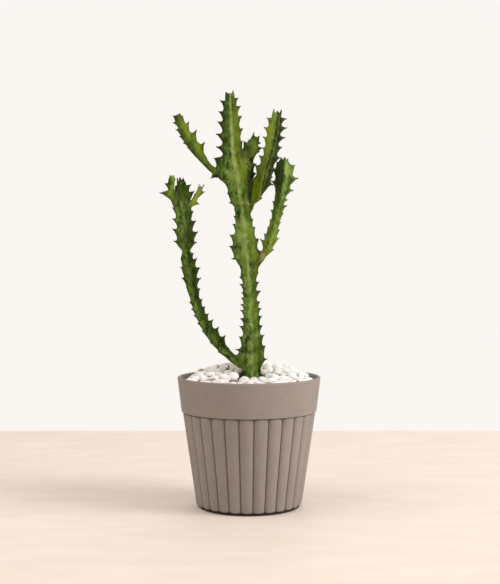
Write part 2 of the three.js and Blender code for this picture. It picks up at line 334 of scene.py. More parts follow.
def floorMaterial():
    # faint drawn-out clouds, a shade apart
    material, tree, shader = newMaterial("paleFloor")
    place = node(tree, "ShaderNodeTexCoord").outputs["Object"]
    stretch = node(tree, "ShaderNodeMapping", {"Vector": place, "Scale": floorPlan["cloudStretch"]})
    clouds = node(tree, "ShaderNodeTexNoise", {
        "Vector": stretch.outputs["Vector"], "Scale": floorPlan["cloudScale"], "Detail": 4,
        "Roughness": 0.62})
    share = ramp(tree, clouds.outputs["Fac"], *floorPlan["cloudLimits"])
    first, second = (tone(*color) for color in floorPlan["tones"])
    connect(tree, shader.inputs["Base Color"], blend(tree, share, first, second))
    shader.inputs["Roughness"].default_value = floorPlan["roughness"]
    shader.inputs["Specular IOR Level"].default_value = floorPlan["specular"]
    return material


def layFloor():
    mesh = bpy.data.meshes.new("plainFloor")
    side, back, front = (floorPlan[key] for key in ("halfWidth", "backEdge", "frontEdge"))
    corners = [(-side, front, 0), (side, front, 0), (side, back, 0), (-side, back, 0)]
    mesh.from_pydata(corners, [], [(0, 1, 2, 3)])
    floor = bpy.data.objects.new("plainFloor", mesh)
    bpy.context.collection.objects.link(floor)
    mesh.materials.append(floorMaterial())


layFloor()
print("floor is laid")


# pot

potPlan = {
    "height": 136.5, "rimRadius": 75, "rimWall": 3.4,
    "bandBottom": 101.2, "bandBottomRadius": 70.9,
    "reeds": 28, "reedTurn": 4.2, "reedColumns": 18, "reedDepth": 2.8, "reedArch": 2.2,
    "reedTop": 100.4, "reedTopRadius": 69.9, "reedLow": 2.5, "reedLowRadius": 55.6,
    "topRound": 3.0, "lowRound": 2.2,
    "footRadius": 53, "footRing": 3, "recess": 1.2,
    "innerAtReedTop": 66, "floorRadius": 50, "floor": 4, "recessRadius": 8, "bandRound": 0.45,
    "crestPower": 0.6, "endPower": 2.5, "underShade": 1.4,
}


def arc(centre, radius, fromDegrees, toDegrees, count):
    # points on a round, as radius and height
    angles = np.radians(np.linspace(fromDegrees, toDegrees, count))
    return np.stack([centre[0] + radius * np.cos(angles), centre[1] + radius * np.sin(angles)], axis=1)


def straight(start, end, count):
    # points along a line, without its start
    return np.linspace(start, end, count + 1)[1:]


def potProfile():
    # half-section from the middle of the underside, up the outside, over the rim and down inside
    p = potPlan
    foot, ring, recess, low, top, band, rim, inner, floor = (p[key] for key in (
        "footRadius", "footRing", "recess", "reedLow", "reedTop", "bandBottomRadius", "rimRadius",
        "innerAtReedTop", "floorRadius"))
    lip, middle = p["rimWall"] / 2, p["recessRadius"]
    outside = [
        [[middle, recess]], straight([middle, recess], [foot - ring - 2, recess], 4),
        [[foot - ring - 0.6, recess * 0.8], [foot - ring, 0.3], [foot - ring + 0.5, 0]],   # foot ring
        [[foot - 0.6, 0], [foot - 0.15, 0.15], [foot, 0.6]],
        [[foot, low - 0.3], [foot + 0.3, low], [foot + 1.2, low]],                         # up to the reeds
    ]
    rise = 1 - np.cos(np.linspace(0, math.pi / 2, 9))          # rows close up towards the ends
    first = low + p["lowRound"] * rise
    last = (top - p["topRound"] * rise)[::-1]
    heights = np.concatenate([first, np.linspace(first[-1], last[0], 20)[1:-1], last])
    share = (heights - low) / (top - low)
    radii = p["reedLowRadius"] + (p["reedTopRadius"] - p["reedLowRadius"]) * share
    body = np.stack([radii, heights], axis=1)
    edge = p["bandRound"]
    above = [
        [[p["reedTopRadius"] - 1.2, top + 0.1], [band - 0.7, top + 0.12]],                 # under the band
        arc((band - edge, p["bandBottom"] - 0.25), edge, -80, 0, 5),
        straight([band, p["bandBottom"]], [rim - 0.1, p["height"] - lip - 0.6], 12),
        arc((rim - lip, p["height"] - lip), lip, -12, 192, 15),                            # lip
        straight([rim - p["rimWall"], p["height"] - lip - 0.4], [inner, top], 10),
        straight([inner, top], [floor + 2, p["floor"] + 2], 10),
        [[floor + 0.6, p["floor"] + 0.4], [floor - 1, p["floor"]]],
        straight([floor - 1, p["floor"]], [10, p["floor"]], 4),
    ]
    firstReedRow = sum(len(part) for part in outside)
    profile = np.concatenate([np.array(part, dtype=float) for part in [*outside, body, *above]])
    return profile, slice(firstReedRow, firstReedRow + len(body))


def buildPot():
    # the half-section turned about +Z. Over the body the radius sinks between the reeds: across a
    # reed it falls from the crest nearly as an ellipse, and both ends of a reed are rounded arches.
    p = potPlan
    profile, body = potProfile()
    across = np.sin(np.linspace(-math.pi / 2, math.pi / 2, p["reedColumns"], endpoint=False))
    reed = np.repeat(np.arange(p["reeds"]), p["reedColumns"])
    place = np.tile(across, p["reeds"])
    turn = 2 * math.pi / p["reeds"]
    angle = (reed + 0.5 + place / 2) * turn + math.radians(p["reedTurn"])
    crest = (1 - place**2) ** p["crestPower"]
    tall = profile[:, 1:]
    arch = p["reedArch"] * np.abs(place)[None] ** 3
    fromTop = np.clip((p["reedTop"] - arch - tall) / p["topRound"], 0, 1)
    fromLow = np.clip((tall - p["reedLow"] - 0.6 * arch) / p["lowRound"], 0, 1)
    power = p["endPower"]
    endRound = (1 - (1 - fromTop) ** power) ** 0.5 * (1 - (1 - fromLow) ** power) ** 0.5
    sunk = np.zeros((len(profile), len(angle)))
    sunk[body] = 1 - endRound[body] * crest[None]
    radius = profile[:, :1] - p["reedDepth"] * sunk
    grid = np.stack([radius * np.sin(angle), -radius * np.cos(angle),
                     np.broadcast_to(tall, radius.shape)], axis=-1) * mm
    ends = np.array([[0, 0, profile[0, 1]], [0, 0, profile[-1, 1]]]) * mm
    # painted shade: the sunk depth darkens the grooves between the reeds and the reeds' ends, and the rows
    # below the reeds take a mark past it, a painted shadow under the pot
    shade = sunk.copy()
    shade[:body.start] = p["underShade"]
    return closedForms("reededPot", grid[None], ends[None], {"paintedPotShade": shade[None]})


# the two darkest tones are painted shade: one in the grooves and at the reeds' ends, one a painted shadow
# under the pot
potFinish = {   # screen colours, and the values of mottle, grain and bump
    "tones": {
        "plastic": (149, 138, 131), "patch": (142, 131, 124), "paintedRecessShade": (98, 86, 77), "under": (46, 38, 34),
    },
    "mottling": (22, 260, 0.35, 0.65, 1), "paintedRecessShadeRamp": (0.45, 1.0, 0.0, 0.75), "underRamp": (1.1, 1.4),
    "grain": 1500, "roughness": (0.5, 0.64), "bump": (0.25, 0.0002), "specular": 0.35,
}


def potMaterial():
    material, tree, shader = newMaterial("taupePlastic")
    tones = tonesOf(potFinish)
    sunk = attribute(tree, "paintedPotShade")
    color = mottling(tree, potFinish["mottling"], tones["plastic"], tones["patch"])["Color"]
    # painted shade in the grooves, and a painted shadow under the pot
    for key in ("paintedRecessShade", "under"):
        color = blend(tree, ramp(tree, sunk, *potFinish[key + "Ramp"]), color, tones[key])
    dress(tree, shader, color, potFinish)
    shader.inputs["Specular IOR Level"].default_value = potFinish["specular"]
    return material


settle(buildPot(), potMaterial(), "pot_plastic", "pot")
print("pot is turned")


# stems

# columns from wing to wing, and rows in mm; the powers of a wing's and a keel's fall-off; how far
# the columns crowd to the wings; and how high the foot of the pot is
section = {"columns": 22, "rowStep": 0.62, "sharpness": 2.5, "keel": 2.2, "crowd": 0.72, "startHeight": 2.5}
horn = {"rows": 7, "lift": 2.4, "spread": 2.2, "dip": 0.5, "closing": 0.96}
tooth = {
    "lift": 2.4, "above": 2.4, "spread": 2.2, "scallop": 1.9, "depthShare": 0.75, "green": 0.98,
    "uneven": (0.9, 1.1), "runIn": 14, "runOut": 6, "lastShare": 0.8, "longest": (1.3, 2),
    "hiddenStart": 0.1, "hiddenUneven": 0.12, "sightRounds": 3,
}
seam = {"near": 26, "rounds": 6, "own": (-0.1, 0.9), "scarOut": 1.5, "scarWidth": 2.2}
# darkSide and ridgeSoft shape the painted shade on one side of a stem, and limitSoft the edge of the painted
# shade in the crevice between stems
shading = {   # limits and shares for the masks of the skin's colours
    "darkSide": (0.25, 0.85), "ridgeSoft": 0.06, "stripeFrom": (0.3, 1.0), "keelStripeFrom": (-0.2, 0.5),
    "stripeOnDark": 0.3, "paleLost": 0.7, "marginTo": 0.4, "tipFrom": 0.6, "keelTip": 0.7,
    "limitSoft": (-0.5, 0.7), "spotOverStripe": 0.8, "vein": 0.6, "veinWidth": 1.3,
}

# Heights are measured from the top of the pot's foot. path: points on the axis. girth: [height,
# notch radius, tooth radius]. wings: degrees from the front, positive to the right, and twist adds
# to them by height. left and right: (sideways, height) of the tips along the first and last wing,
# as seen; a third number is the depth of the scallop below, and 0 makes it a bare point of the
# edge. back: the same for the middle wing. front: heights of the teeth on a middle wing that faces
# the front, a low keel. core: the round middle's share of the notch radius. horns: how high the
# wings end. join: width of the grown fillet.
# The colours are a number, or rows of height and number. sun: where the side with painted light
# faces, a brighter and yellower green. deep: how far the green goes to the dark one, and the side
# where it does, which is painted shade; aged: the least of it all round; darkPast: [height,
# sideways] past which it is full, painted shade in the crevice between stems. fresh: how far the
# green goes to the young one, on the upper right branch partly painted light. stripe: the pale band
# between wings, and deepStripe the same on the darker green. pale: its tone all round. margin: how
# dark the wings' edges are. spots: dark ones, or pale ones where the amount is below 0, as
# (sideways, height, reach, amount), and cork: brown ones. veins: pale lines from point to point.
# scar: how brown the skin is at the join.
stems = {
    "mainStem": {
        "node": "main_stem", "wings": (-62, 180, 62), "core": 0.56, "sun": 112, "horns": 0.8,
        "stripe": [[140, 0.5], [235, 0.5], [250, 0.75], [262, 0.6], [285, 0.4], [300, 0.6], [335, 0.75],
                   [360, 1.15]],
        "deep": ([[150, 0.3], [240, 0.2], [265, 0], [330, 0.1], [350, 0.35], [370, 0.6], [428, 0.65]], -80),
        "aged": [[140, 0.15], [180, 0.2], [235, 0.25], [262, 0.1], [300, 0.05]],
        "margin": [[150, 0.1], [200, 0.5], [240, 1], [270, 0.6], [330, 0.6], [360, 1]],
        "spots": [(8, 226, 6, 0.5), (-1, 183, 6, 0.45), (5, 178, 5, 0.35), (5, 162, 7, 0.35),
                  (12.5, 160, 7, -0.35), (11.5, 177, 6, -0.3), (-5.5, 158, 5, -0.2), (11.5, 148, 4, -0.3),
                  (5, 192, 8, -0.2), (11, 206, 5, -0.3), (-2, 226, 7, -0.15), (6.5, 235, 4, 0.3),
                  (6.5, 250, 6, 0.4), (1.5, 277, 6, 0.35), (-2, 308, 6, 0.5), (-16, 411, 8, 0.4),
                  (-12, 393, 6, 0.5), (-18, 423, 7, 0.3), (-28, 375, 4, 0.4), (-28, 388, 4, 0.3),
                  (-3, 367, 6, 0.9), (-9, 378, 4, 0.6), (-6, 258, 6, 0.1), (-5, 268, 6, 0.2),
                  (-11.5, 295, 6, -0.35), (-20, 335, 6, -0.25), (-31, 352, 6, -0.3), (-25, 424, 4, -0.15),
                  (-3, 322, 6, 0.55), (-9.5, 337, 6, 0.3), (-11, 350, 5, 0.3), (-2.5, 347, 5, 0.3)],
        "cork": [(13, 262, 2.6, 1.2), (-1.5, 316, 1.8, 0.8)],
        "darkPast": [[308, 9], [316, -0.5], [326, -2.4], [350, -2.8], [358, 9]],
        "veins": [(-34, 351.5, -27, 349), (-27, 349, -23, 347)],
        "pale": [[140, 0.38], [170, 0.35], [200, 0.28], [235, 0.34], [260, 0.38], [290, 0.4], [312, 0.25],
                 [340, 0.2], [360, 0.1]],
        "path": [[3.6, 0, 92], [3.6, 0, 118], [3.6, 0, 136], [2.9, 0, 150], [2.7, 0, 167], [1.9, 0, 198.5],
                 [0.8, 0, 224.7], [-0.5, 0, 245.7], [-3.1, 0, 266.7], [-6.3, 0, 303.4], [-9.4, 0, 324.4],
                 [-13.1, 0, 345.3], [-17.3, 0, 371.6], [-19, 0, 400], [-19.9, 0, 429]],
        "girth": [[92, 5, 5], [118, 6.5, 6.5], [134, 7.4, 7.6], [141, 9.4, 10], [150, 11, 13],
                  [162, 11.7, 17.2], [183, 9.2, 13.3],
                  [214, 7.9, 11.3], [235, 7.9, 11.2], [254, 9.6, 13.5], [262, 12.8, 17.5], [277, 13.4, 19],
                  [293, 9.6, 13.3], [309, 8.6, 11.7], [324, 9.8, 12.7], [345, 13.6, 16], [372, 10.9, 16.6],
                  [393, 9.9, 15.7], [414, 8.1, 13.2], [422, 6, 11], [428, 4.8, 8.6]],
        "left": [(-12, 156.5, 0), (-13.6, 162), (-10, 175, 0.8), (-9.5, 186), (-8.9, 194), (-8.7, 203),
                 (-8.4, 209), (-7.8, 216), (-7.6, 222), (-9.4, 230), (-9.4, 238), (-8.3, 245, 0),
                 (-9.9, 250, 0), (-13.3, 254.4, 0), (-17.8, 257, 0.5), (-20, 270, 0.6), (-19.8, 282, 0.7),
                 (-16.8, 293), (-15.7, 302), (-15.2, 309), (-20.3, 316), (-22.4, 325.5, 0.4),
                 (-22.2, 330.5, 0), (-24, 334.5, 0), (-26.6, 337.6, 0), (-31, 340.5, 0), (-34.8, 353, 0),
                 (-36.6, 362, 0.3), (-33.8, 374), (-34, 387.5), (-32.4, 400), (-31.3, 411),
                 (-29.6, 422), (-24.4, 429)],
        "right": [(18.6, 152, 0.7), (16.8, 165, 0.4), (15.5, 177, 0.7), (13.9, 187, 0.8), (13.2, 197, 0.7),
                  (12.7, 205, 0.8), (11.3, 212, 0.7), (12.1, 223), (10.2, 232.5), (9.4, 242), (9.5, 248, 0),
                  (11, 254, 0), (11.5, 265, 0), (10, 278), (6.3, 290, 1.5), (4, 299), (2, 313),
                  (3.9, 331, 0.2), (3.9, 341, 0.2), (-1.5, 357), (-5, 368.6), (-7, 379.6), (-6.6, 393),
                  (-7.8, 406), (-9, 416), (-11.5, 425), (-16.4, 430.5)],
    },
    "leftBranch": {
        "node": "left_branch", "wings": (-62, 180, 62), "core": 0.56, "sun": -150,
        "stripe": [[133, 0.2], [200, 0.25], [240, 0.4]],
        "deep": ([[133, 0.6], [180, 0.7], [240, 0.85], [252, 0.6], [274, 0.6], [285, 0.85],
                  [298, 0.6]], 75),
        "aged": [[133, 0.3], [240, 0.2], [290, 0.3], [303, 0.15], [318, 0.2], [330, 0.45]],
        "spots": [(-75, 324, 6, 0.9), (-69, 276, 8, 0.6), (-59, 283, 5, 0.4), (-76, 306, 6, -0.2),
                  (-64, 318, 4, -0.2), (-72, 332, 6, 0.5), (-64, 240, 8, 0.6), (-61, 227, 7, 0.6),
                  (-62, 249, 5, 0.4), (-40, 176, 7, 0.5), (-68, 301, 5, 0.4), (-72, 294, 4, -0.2)],
        "pale": [[133, 0.3], [180, 0.35], [240, 0.42], [290, 0.36], [310, 0.26], [338, 0.1]],
        "grows": "mainStem", "join": 6, "scar": 0.1,
        "path": [[6, -1, 133], [1, -1, 140], [-4.5, -2, 145], [-13.5, -2.5, 150.2], [-21.6, -3.5, 157.4],
                 [-32.8, -5.5, 170.5], [-44.5, -8, 187.4], [-51.9, -9, 202.8], [-56.3, -9.6, 216.5],
                 [-59.4, -10, 229.9], [-61.6, -10, 245.7], [-65, -9, 261.4], [-66.6, -8, 289.7],
                 [-69.8, -6, 319.1], [-71.9, -5, 338]],
        "girth": [[133, 4.4, 4.4], [145, 4.5, 4.5], [158, 4.8, 5.3], [168, 6.2, 7.5], [176, 6.5, 8.2],
                  [188, 5.9, 7.6], [202, 5.7, 7.4], [216, 5.3, 7.2], [230, 6.3, 8.7], [244, 8.3, 11.5],
                  [254, 7.2, 10.9], [265, 5.3, 7.3], [275, 7.8, 12.7], [288, 9, 14.3], [300, 8.8, 12.7],
                  [314, 8, 10.9], [327, 9, 10.9], [338, 5.5, 7]],
        "left": [(-32.6, 159.4), (-41, 169.4), (-49.2, 181.4), (-53.9, 189.5), (-57.7, 197.5),
                 (-60.4, 204.7), (-62.4, 211.8), (-65.6, 227), (-70.2, 237), (-71.5, 248), (-71.4, 257),
                 (-78.1, 275.6, 1.1), (-79.7, 287.6, 0.7), (-79.7, 298.6), (-80, 310), (-77.4, 322),
                 (-77, 333), (-74.7, 339.5)],
        "right": [(-25.3, 177.2), (-32.5, 185.7), (-38.1, 193.5), (-42.9, 200), (-46.3, 207), (-49.3, 215),
                  (-51.6, 226), (-50.8, 237), (-51.6, 248), (-54.8, 257), (-58.2, 263), (-55, 274.4, 1.1),
                  (-53.8, 285, 0.6), (-55.8, 296), (-58.4, 306), (-57.6, 327), (-61, 334), (-68, 339)],
    },
    "leftShoot": {
        "node": "left_branch_left_shoot", "wings": (-72, 180, 72), "core": 0.6, "sun": 40, "stripe": 0.3,
        "deep": (0.5, -80), "fresh": 0.3,
        "spots": [(-82, 336, 5, 0.8), (-76, 325, 5, 0.8), (-87, 328, 5, -0.3)],
        "grows": "leftBranch", "join": 5, "scar": 0.1,
        "path": [[-69, -7, 304], [-73.5, -8.5, 311.5], [-77.4, -9.5, 317.5], [-80, -10, 324.5],
                 [-80.8, -10, 332], [-80.4, -10, 342]],
        "girth": [[304, 3.2, 3.2], [312, 3.2, 3.4], [318, 3.2, 7], [325, 3.3, 11], [334, 3.4, 5.5],
                  [342, 3, 4.4]],
        "left": [(-93, 325.8), (-87.8, 336), (-83, 343)],
        "right": [(-75.4, 327), (-77, 340.5)],
    },
    "rightShoot": {
        "node": "left_branch_right_shoot", "wings": (-72, 180, 72), "core": 0.6, "sun": 10, "stripe": 0.4,
        "deep": (0.4, -80), "aged": 0.15, "fresh": 0.2, "pale": 0.2, "grows": "leftBranch",
        "join": 4, "scar": 0.1,
        "path": [[-69, -8, 304], [-63.6, -10, 311], [-58.2, -11, 317.5], [-53.6, -12, 324.5],
                 [-50.6, -12, 331]],
        "girth": [[302, 2.6, 2.6], [311, 2.6, 4], [318, 2.6, 4.2], [326, 3.2, 5.0], [332, 3, 4.4]],
        "left": [(-56.5, 322, 0.4), (-52.9, 333)],
        "right": [(-52.3, 314.5), (-46.8, 327), (-47.8, 332.5)],
    },
    "upperLeftBranch": {
        "node": "upper_left_branch", "wings": (-62, 180, 62), "core": 0.58, "sun": 50, "stripe": 0.4,
        "horns": 0.1,
        "deep": (0.5, -75), "fresh": 0.1, "grows": "mainStem", "join": 4, "scar": 0.0,
        "spots": [(-75.5, 405, 8, 0.8), (-49.5, 365, 7, 0.4), (-60, 376, 6, 0.4), (-38, 354, 4, 0.6),
                  (-66, 391, 5, 0.25)],
        "path": [[-8, 0, 326], [-18, -1, 337.5], [-26, 0, 344], [-32, 0.5, 347.2], [-36.5, 1, 349.2],
                 [-41.2, 2, 352.4], [-46.5, 3, 359], [-51.8, 4, 366.3], [-57.2, 5, 374.7],
                 [-63.7, 6, 384.7], [-69.8, 6, 395.2], [-75.6, 6, 408]],
        "girth": [[326, 6, 6], [337, 5.5, 5.5], [344, 5, 6], [348, 5.2, 8.5], [353, 4.4, 5.4],
                  [359, 4.1, 5], [366, 5, 6.6], [373, 6.2, 9.9], [384, 6, 9.2], [395, 5.1, 8],
                  [409, 4.4, 5.6]],
        "left": [(-39.4, 341.6), (-36.8, 343.4, 0), (-38.8, 347, 0), (-42.2, 350.6, 0), (-45.6, 353.5),
                 (-54.9, 363, 0.5), (-64, 373, 0.4), (-68.2, 378, 0.6), (-72.4, 385, 0.5), (-76, 392, 0.5),
                 (-78.8, 399), (-79, 406)],
        "right": [(-46.5, 378.4, 0.9), (-55, 391), (-62.9, 399.6), (-69.3, 406.4)],
    },
    "centreShoot": {
        "node": "centre_shoot", "wings": (-70, 138, 66), "core": 0.58, "sun": 60, "stripe": 0.4,
        "horns": 0.5,
        "deep": (0.95, 125), "aged": [[345, 0.2], [362, 0.6]], "fresh": 0.15,
        "darkPast": [[330, -2.5], [352, -3], [358, -1], [362, 1], [366, 9]],
        "spots": [(-4, 371, 5, 0.8), (-3, 364, 6, 0.7), (7, 381.5, 3.5, 0.7)],
        "grows": "mainStem", "join": 7, "scar": 0.2,
        "path": [[-12, 0, 336], [-7.5, -2, 347], [-3, -4, 358], [1, -6, 368], [4.6, -7, 377],
                 [7.2, -7, 384]],
        "girth": [[336, 6, 15], [347, 6.4, 15], [356, 6, 11], [370, 5.9, 9], [378, 5.4, 8], [385, 4, 5.6]],
        "back": [(2.5, 334, 0.2), (6.2, 344, 0.2), (6.2, 354.5, 0.3), (10, 368), (12, 378)],
        "left": [(-8, 370), (-5.4, 380, 0.5), (0, 381.5, 0.6), (4.6, 388)],
        "right": [(5.8, 355.5), (13.4, 373.2, 0.7), (10.6, 384.5)],
    },
    "upperRightBranch": {
        "node": "upper_right_branch", "wings": (-118, 2, 122), "core": 0.54, "sun": -60, "stripe": 0.3,
        "deep": (1.0, 64), "deepStripe": 0.34,
        # the young green here is partly painted light, brightening the face that the lamps leave in shade
        "fresh": [[298, 0.5], [345, 0.65], [372, 0.65], [388, 0.4], [410, 0.25]],
        "pale": [[330, 0.05], [370, 0.15]], "horns": 0.8, "grows": "mainStem", "join": 3.5, "scar": 0.2,
        "twist": [[298, 60], [318, 56], [328, 32], [337, 10], [346, 3], [352, 0]],
        "path": [[-5.6, 1, 298], [-0.6, 4, 306.5], [4.3, 7, 319.1], [9.4, 9, 330], [13.6, 10, 341],
                 [17.3, 11, 352.7], [21.8, 12, 366.3], [25, 12, 380],
                 [27.2, 12, 392.5], [29.6, 12, 410.6]],
        "girth": [[298, 4, 4], [312, 3, 3.6], [316, 3.4, 5], [319, 5, 9.5], [326, 7, 11], [346, 7.8, 12],
                  [366, 7.2, 12.5], [380, 7.2, 12.5], [392, 7.9, 12.5], [403, 6.8, 10.5], [412, 4.6, 6.4]],
        "left": [(1.8, 342.4), (6.3, 355.4), (10.8, 365.2), (14.3, 373.2), (15, 384.2, 0.9),
                 (16, 394.2, 0.85), (19.2, 404.2, 0.8), (25.4, 411)],
        "spots": [(18.5, 373, 6, -0.15), (12, 347, 8, -0.15)], "cork": [(-1.5, 316, 1.8, 0.8)],
        "front": [321, 342, 358, 369, 380, 391, 400],
        "right": [(14, 320), (14.4, 326.5, 0), (19, 331.5, 0), (25.8, 335.2, 0.6), (24.2, 343, 0.5),
                  (27.2, 351, 0.3), (32.3, 362.6, 0.8), (34, 373.2, 0.8), (37.6, 383.8), (39, 393.8, 1.1),
                  (38.9, 403.4), (33.7, 411)],
    },
    "rightBranch": {
        "node": "right_branch", "wings": (-120, -5, 112), "core": 0.56, "sun": 180, "stripe": 0.4,
        "deep": ([[262, 0.1], [300, 0.3], [325, 0.8], [335, 1]], -66), "aged": [[300, 0.05], [330, 0.3]],
        "fresh": [[262, 0.4], [300, 0.2], [330, 0]], "cork": [(13, 262, 2.6, 1.2)],
        "pale": [[300, 0.05], [325, 0.1], [338, 0.3], [360, 0.28]], "grows": "mainStem", "join": 4,
        "scar": [[256, 0], [262, 1.3], [274, 1.3], [280, 0]],
        "spots": [(34, 304, 5, 0.5), (28.5, 285, 5, 0.3), (41, 335, 5, 0.3), (29.5, 293, 4, 0.3),
                  (37, 350, 5, -0.2), (45, 345, 5, -0.2)],
        "margin": [[335, 1], [342, 0.3]],
        "path": [[2, -1, 244], [7.6, -4, 251.5], [13, -7, 258.5], [18, -9, 266.5], [21.2, -10, 274.5],
                 [24.4, -11, 286], [29.6, -12, 307], [32, -13, 320], [34.3, -13, 332], [36.3, -13, 346],
                 [37.2, -13, 359]],
        "girth": [[242, 4, 4], [252, 4, 4], [260, 3.7, 4], [268, 4.9, 6.4], [276, 6.7, 10], [285, 6, 8.8],
                  [296, 5, 6.8], [306, 5.2, 7], [316, 5.7, 9], [327, 6.9, 12], [340, 9.6, 15.2],
                  [352, 9, 12.6], [360, 5, 6.4]],
        "left": [(11.8, 277), (15.9, 283), (19.6, 290), (21.9, 298), (23, 308), (24.8, 317),
                 (28, 327.5), (23.4, 338.3), (25, 350.5), (29, 358, 0.6), (33, 360.5)],
        "front": [268, 297, 320, 341, 356],
        "right": [(25.4, 266), (30.9, 278), (32.1, 287), (33.1, 295), (35.8, 304.4, 0.8),
                  (39.4, 312.4, 0.8), (40, 318.8), (46.2, 328.5), (50.9, 341), (47.7, 354.4, 0.8),
                  (39.6, 359.6)],
    },
}


def followPath(knots, step):
    # a smooth line through the knots: each stretch is a cubic whose end slopes come from its
    # neighbours, walked in even steps. Returns its points, directions and distances along it.
    knots = np.array(knots, dtype=float) * mm
    chord = np.concatenate([[0], np.cumsum(np.linalg.norm(np.diff(knots, axis=0), axis=1))])
    slopes = np.gradient(knots, chord, axis=0)
    dense = np.linspace(0, chord[-1], 4000)
    span = np.clip(np.searchsorted(chord, dense, side="right") - 1, 0, len(chord) - 2)
    width = (chord[span + 1] - chord[span])[:, None]
    t = (dense - chord[span])[:, None] / width
    line = ((2 * t**3 - 3 * t**2 + 1) * knots[span] + (t**3 - 2 * t**2 + t) * width * slopes[span]
            + (3 * t**2 - 2 * t**3) * knots[span + 1] + (t**3 - t**2) * width * slopes[span + 1])
    walked = np.concatenate([[0], np.cumsum(np.linalg.norm(np.diff(line, axis=0), axis=1))])
    even = np.linspace(0, walked[-1], int(walked[-1] / (step * mm)) + 1)
    points = np.stack([np.interp(even, walked, line[:, axis]) for axis in range(3)], axis=1)
    return points, unit(np.gradient(points, axis=0)), even


def byHeight(value, heights, column=1):
    # a number, or a column of rows that each start with a height, at the given heights
    rows = np.array(value if isinstance(value, list) else [[0, value]], dtype=float)
    return np.interp(heights, rows[:, 0], rows[:, column])


def stemLine(stem):
    # the axis, a frame that keeps one side to the front, and the girth at every row
    raised = np.array(stem["path"], dtype=float) + [0, 0, section["startHeight"]]
    points, along, arcs = followPath(raised, section["rowStep"])
    heights = points[:, 2] / mm - section["startHeight"]
    front = np.array([0, -1, 0])
    ahead = unit(front - (along @ front)[:, None] * along)
    return {
        "points": points, "along": along, "arcs": arcs, "heights": heights,
        "ahead": ahead, "aside": np.cross(along, ahead),
        "notch": byHeight(stem["girth"], heights) * mm,
        "crest": byHeight(stem["girth"], heights, 2) * mm,
        "twist": np.radians(byHeight(stem.get("twist", 0), heights)),
    }


def teethBySight(tips, wing, line):
    # teeth whose tips are known as seen from the front, in the plane of the pot's axis: where they
    # stand along the stem, and how far out, which is the sideways distance over the sine of the
    # wing's angle. A tip behind that plane is moved out from the line of sight by its depth.
    cuts = np.array([(*tip, 1.0)[2] for tip in tips])
    tips = np.array([tip[:2] for tip in tips], dtype=float) + [0, section["startHeight"]]
    eye = np.array(shot["place"]) * mm
    seen = np.stack([tips[:, 0], np.zeros(len(tips)), tips[:, 1]], axis=1) * mm
    depth = np.zeros(len(tips))
    most, more = tooth["longest"]
    for _ in range(tooth["sightRounds"]):
        gap = (eye + (seen - eye) * (1 - depth / eye[1])[:, None])[:, None] - line["points"][None]
        gap[..., 1] = 0
        onAxis = np.einsum("trk,rk->tr", gap, line["along"])
        row = np.abs(onAxis - np.where(cuts > 0, tooth["above"], 0)[:, None] * mm).argmin(axis=1)
        sideways = np.einsum("tk,tk->t", gap[np.arange(len(tips)), row], line["aside"][row])
        turned = wing + line["twist"][row]
        reach = np.clip(np.abs(sideways / np.sin(turned)), 0, line["crest"][row] * most + more * mm)
        depth = line["points"][row, 1] - np.cos(turned) * reach
    return line["arcs"][row], reach, cuts


def teethByHeight(heights, line):
    # teeth at given heights, as far out as the girth's tooth radius
    row = np.abs(line["heights"][:, None] - np.array(heights)[None]).argmin(axis=0)
    return line["arcs"][row], line["crest"][row], np.ones(len(row))


def teethEvenly(pace, line, rng):
    # a wing that the front doesn't show: teeth at an even pace, a little uneven
    arcs = line["arcs"]
    places = np.arange(tooth["hiddenStart"] * arcs[-1], arcs[-1], pace)
    places = places + rng.uniform(-tooth["hiddenUneven"], tooth["hiddenUneven"], len(places)) * pace
    return places, np.interp(places, arcs, line["crest"]), np.ones(len(places))


def wingEdge(places, reaches, cuts, line, rng):
    # the edge runs straight from tooth to tooth, less a round scallop between them. The green
    # ends short of the tip, and the spines go on from there.
    arcs, notch = line["arcs"], line["notch"]
    green = np.where(cuts > 0, tooth["green"], 1.0)
    reaches = np.interp(places, arcs, notch) * (1 - green) + reaches * green
    spined = places[cuts > 0]
    before = places[0] - tooth["runIn"] * mm
    cuts = np.concatenate([[1], cuts, [1]])
    places = np.concatenate([[before], places, [arcs[-1] + tooth["runOut"] * mm]])
    reaches = np.concatenate([[np.interp(before, arcs, notch)], reaches, [reaches[-1] * tooth["lastShare"]]])
    between = np.clip(np.searchsorted(places, arcs, side="right") - 1, 0, len(places) - 2)
    pace = places[between + 1] - places[between]
    share = np.clip((arcs - places[between]) / pace, 0, 1)
    chord = reaches[between] * (1 - share) + reaches[between + 1] * share
    uneven = (rng.uniform(*tooth["uneven"], len(places)) * cuts)[between + 1]
    depth = np.clip(chord - notch, 0, tooth["depthShare"] * pace) * uneven
    reach = chord - depth * (1 - np.abs(2 * share - 1) ** tooth["scallop"])
    return reach, bell(arcs[:, None] - spined, tooth["spread"] * mm).max(axis=1)


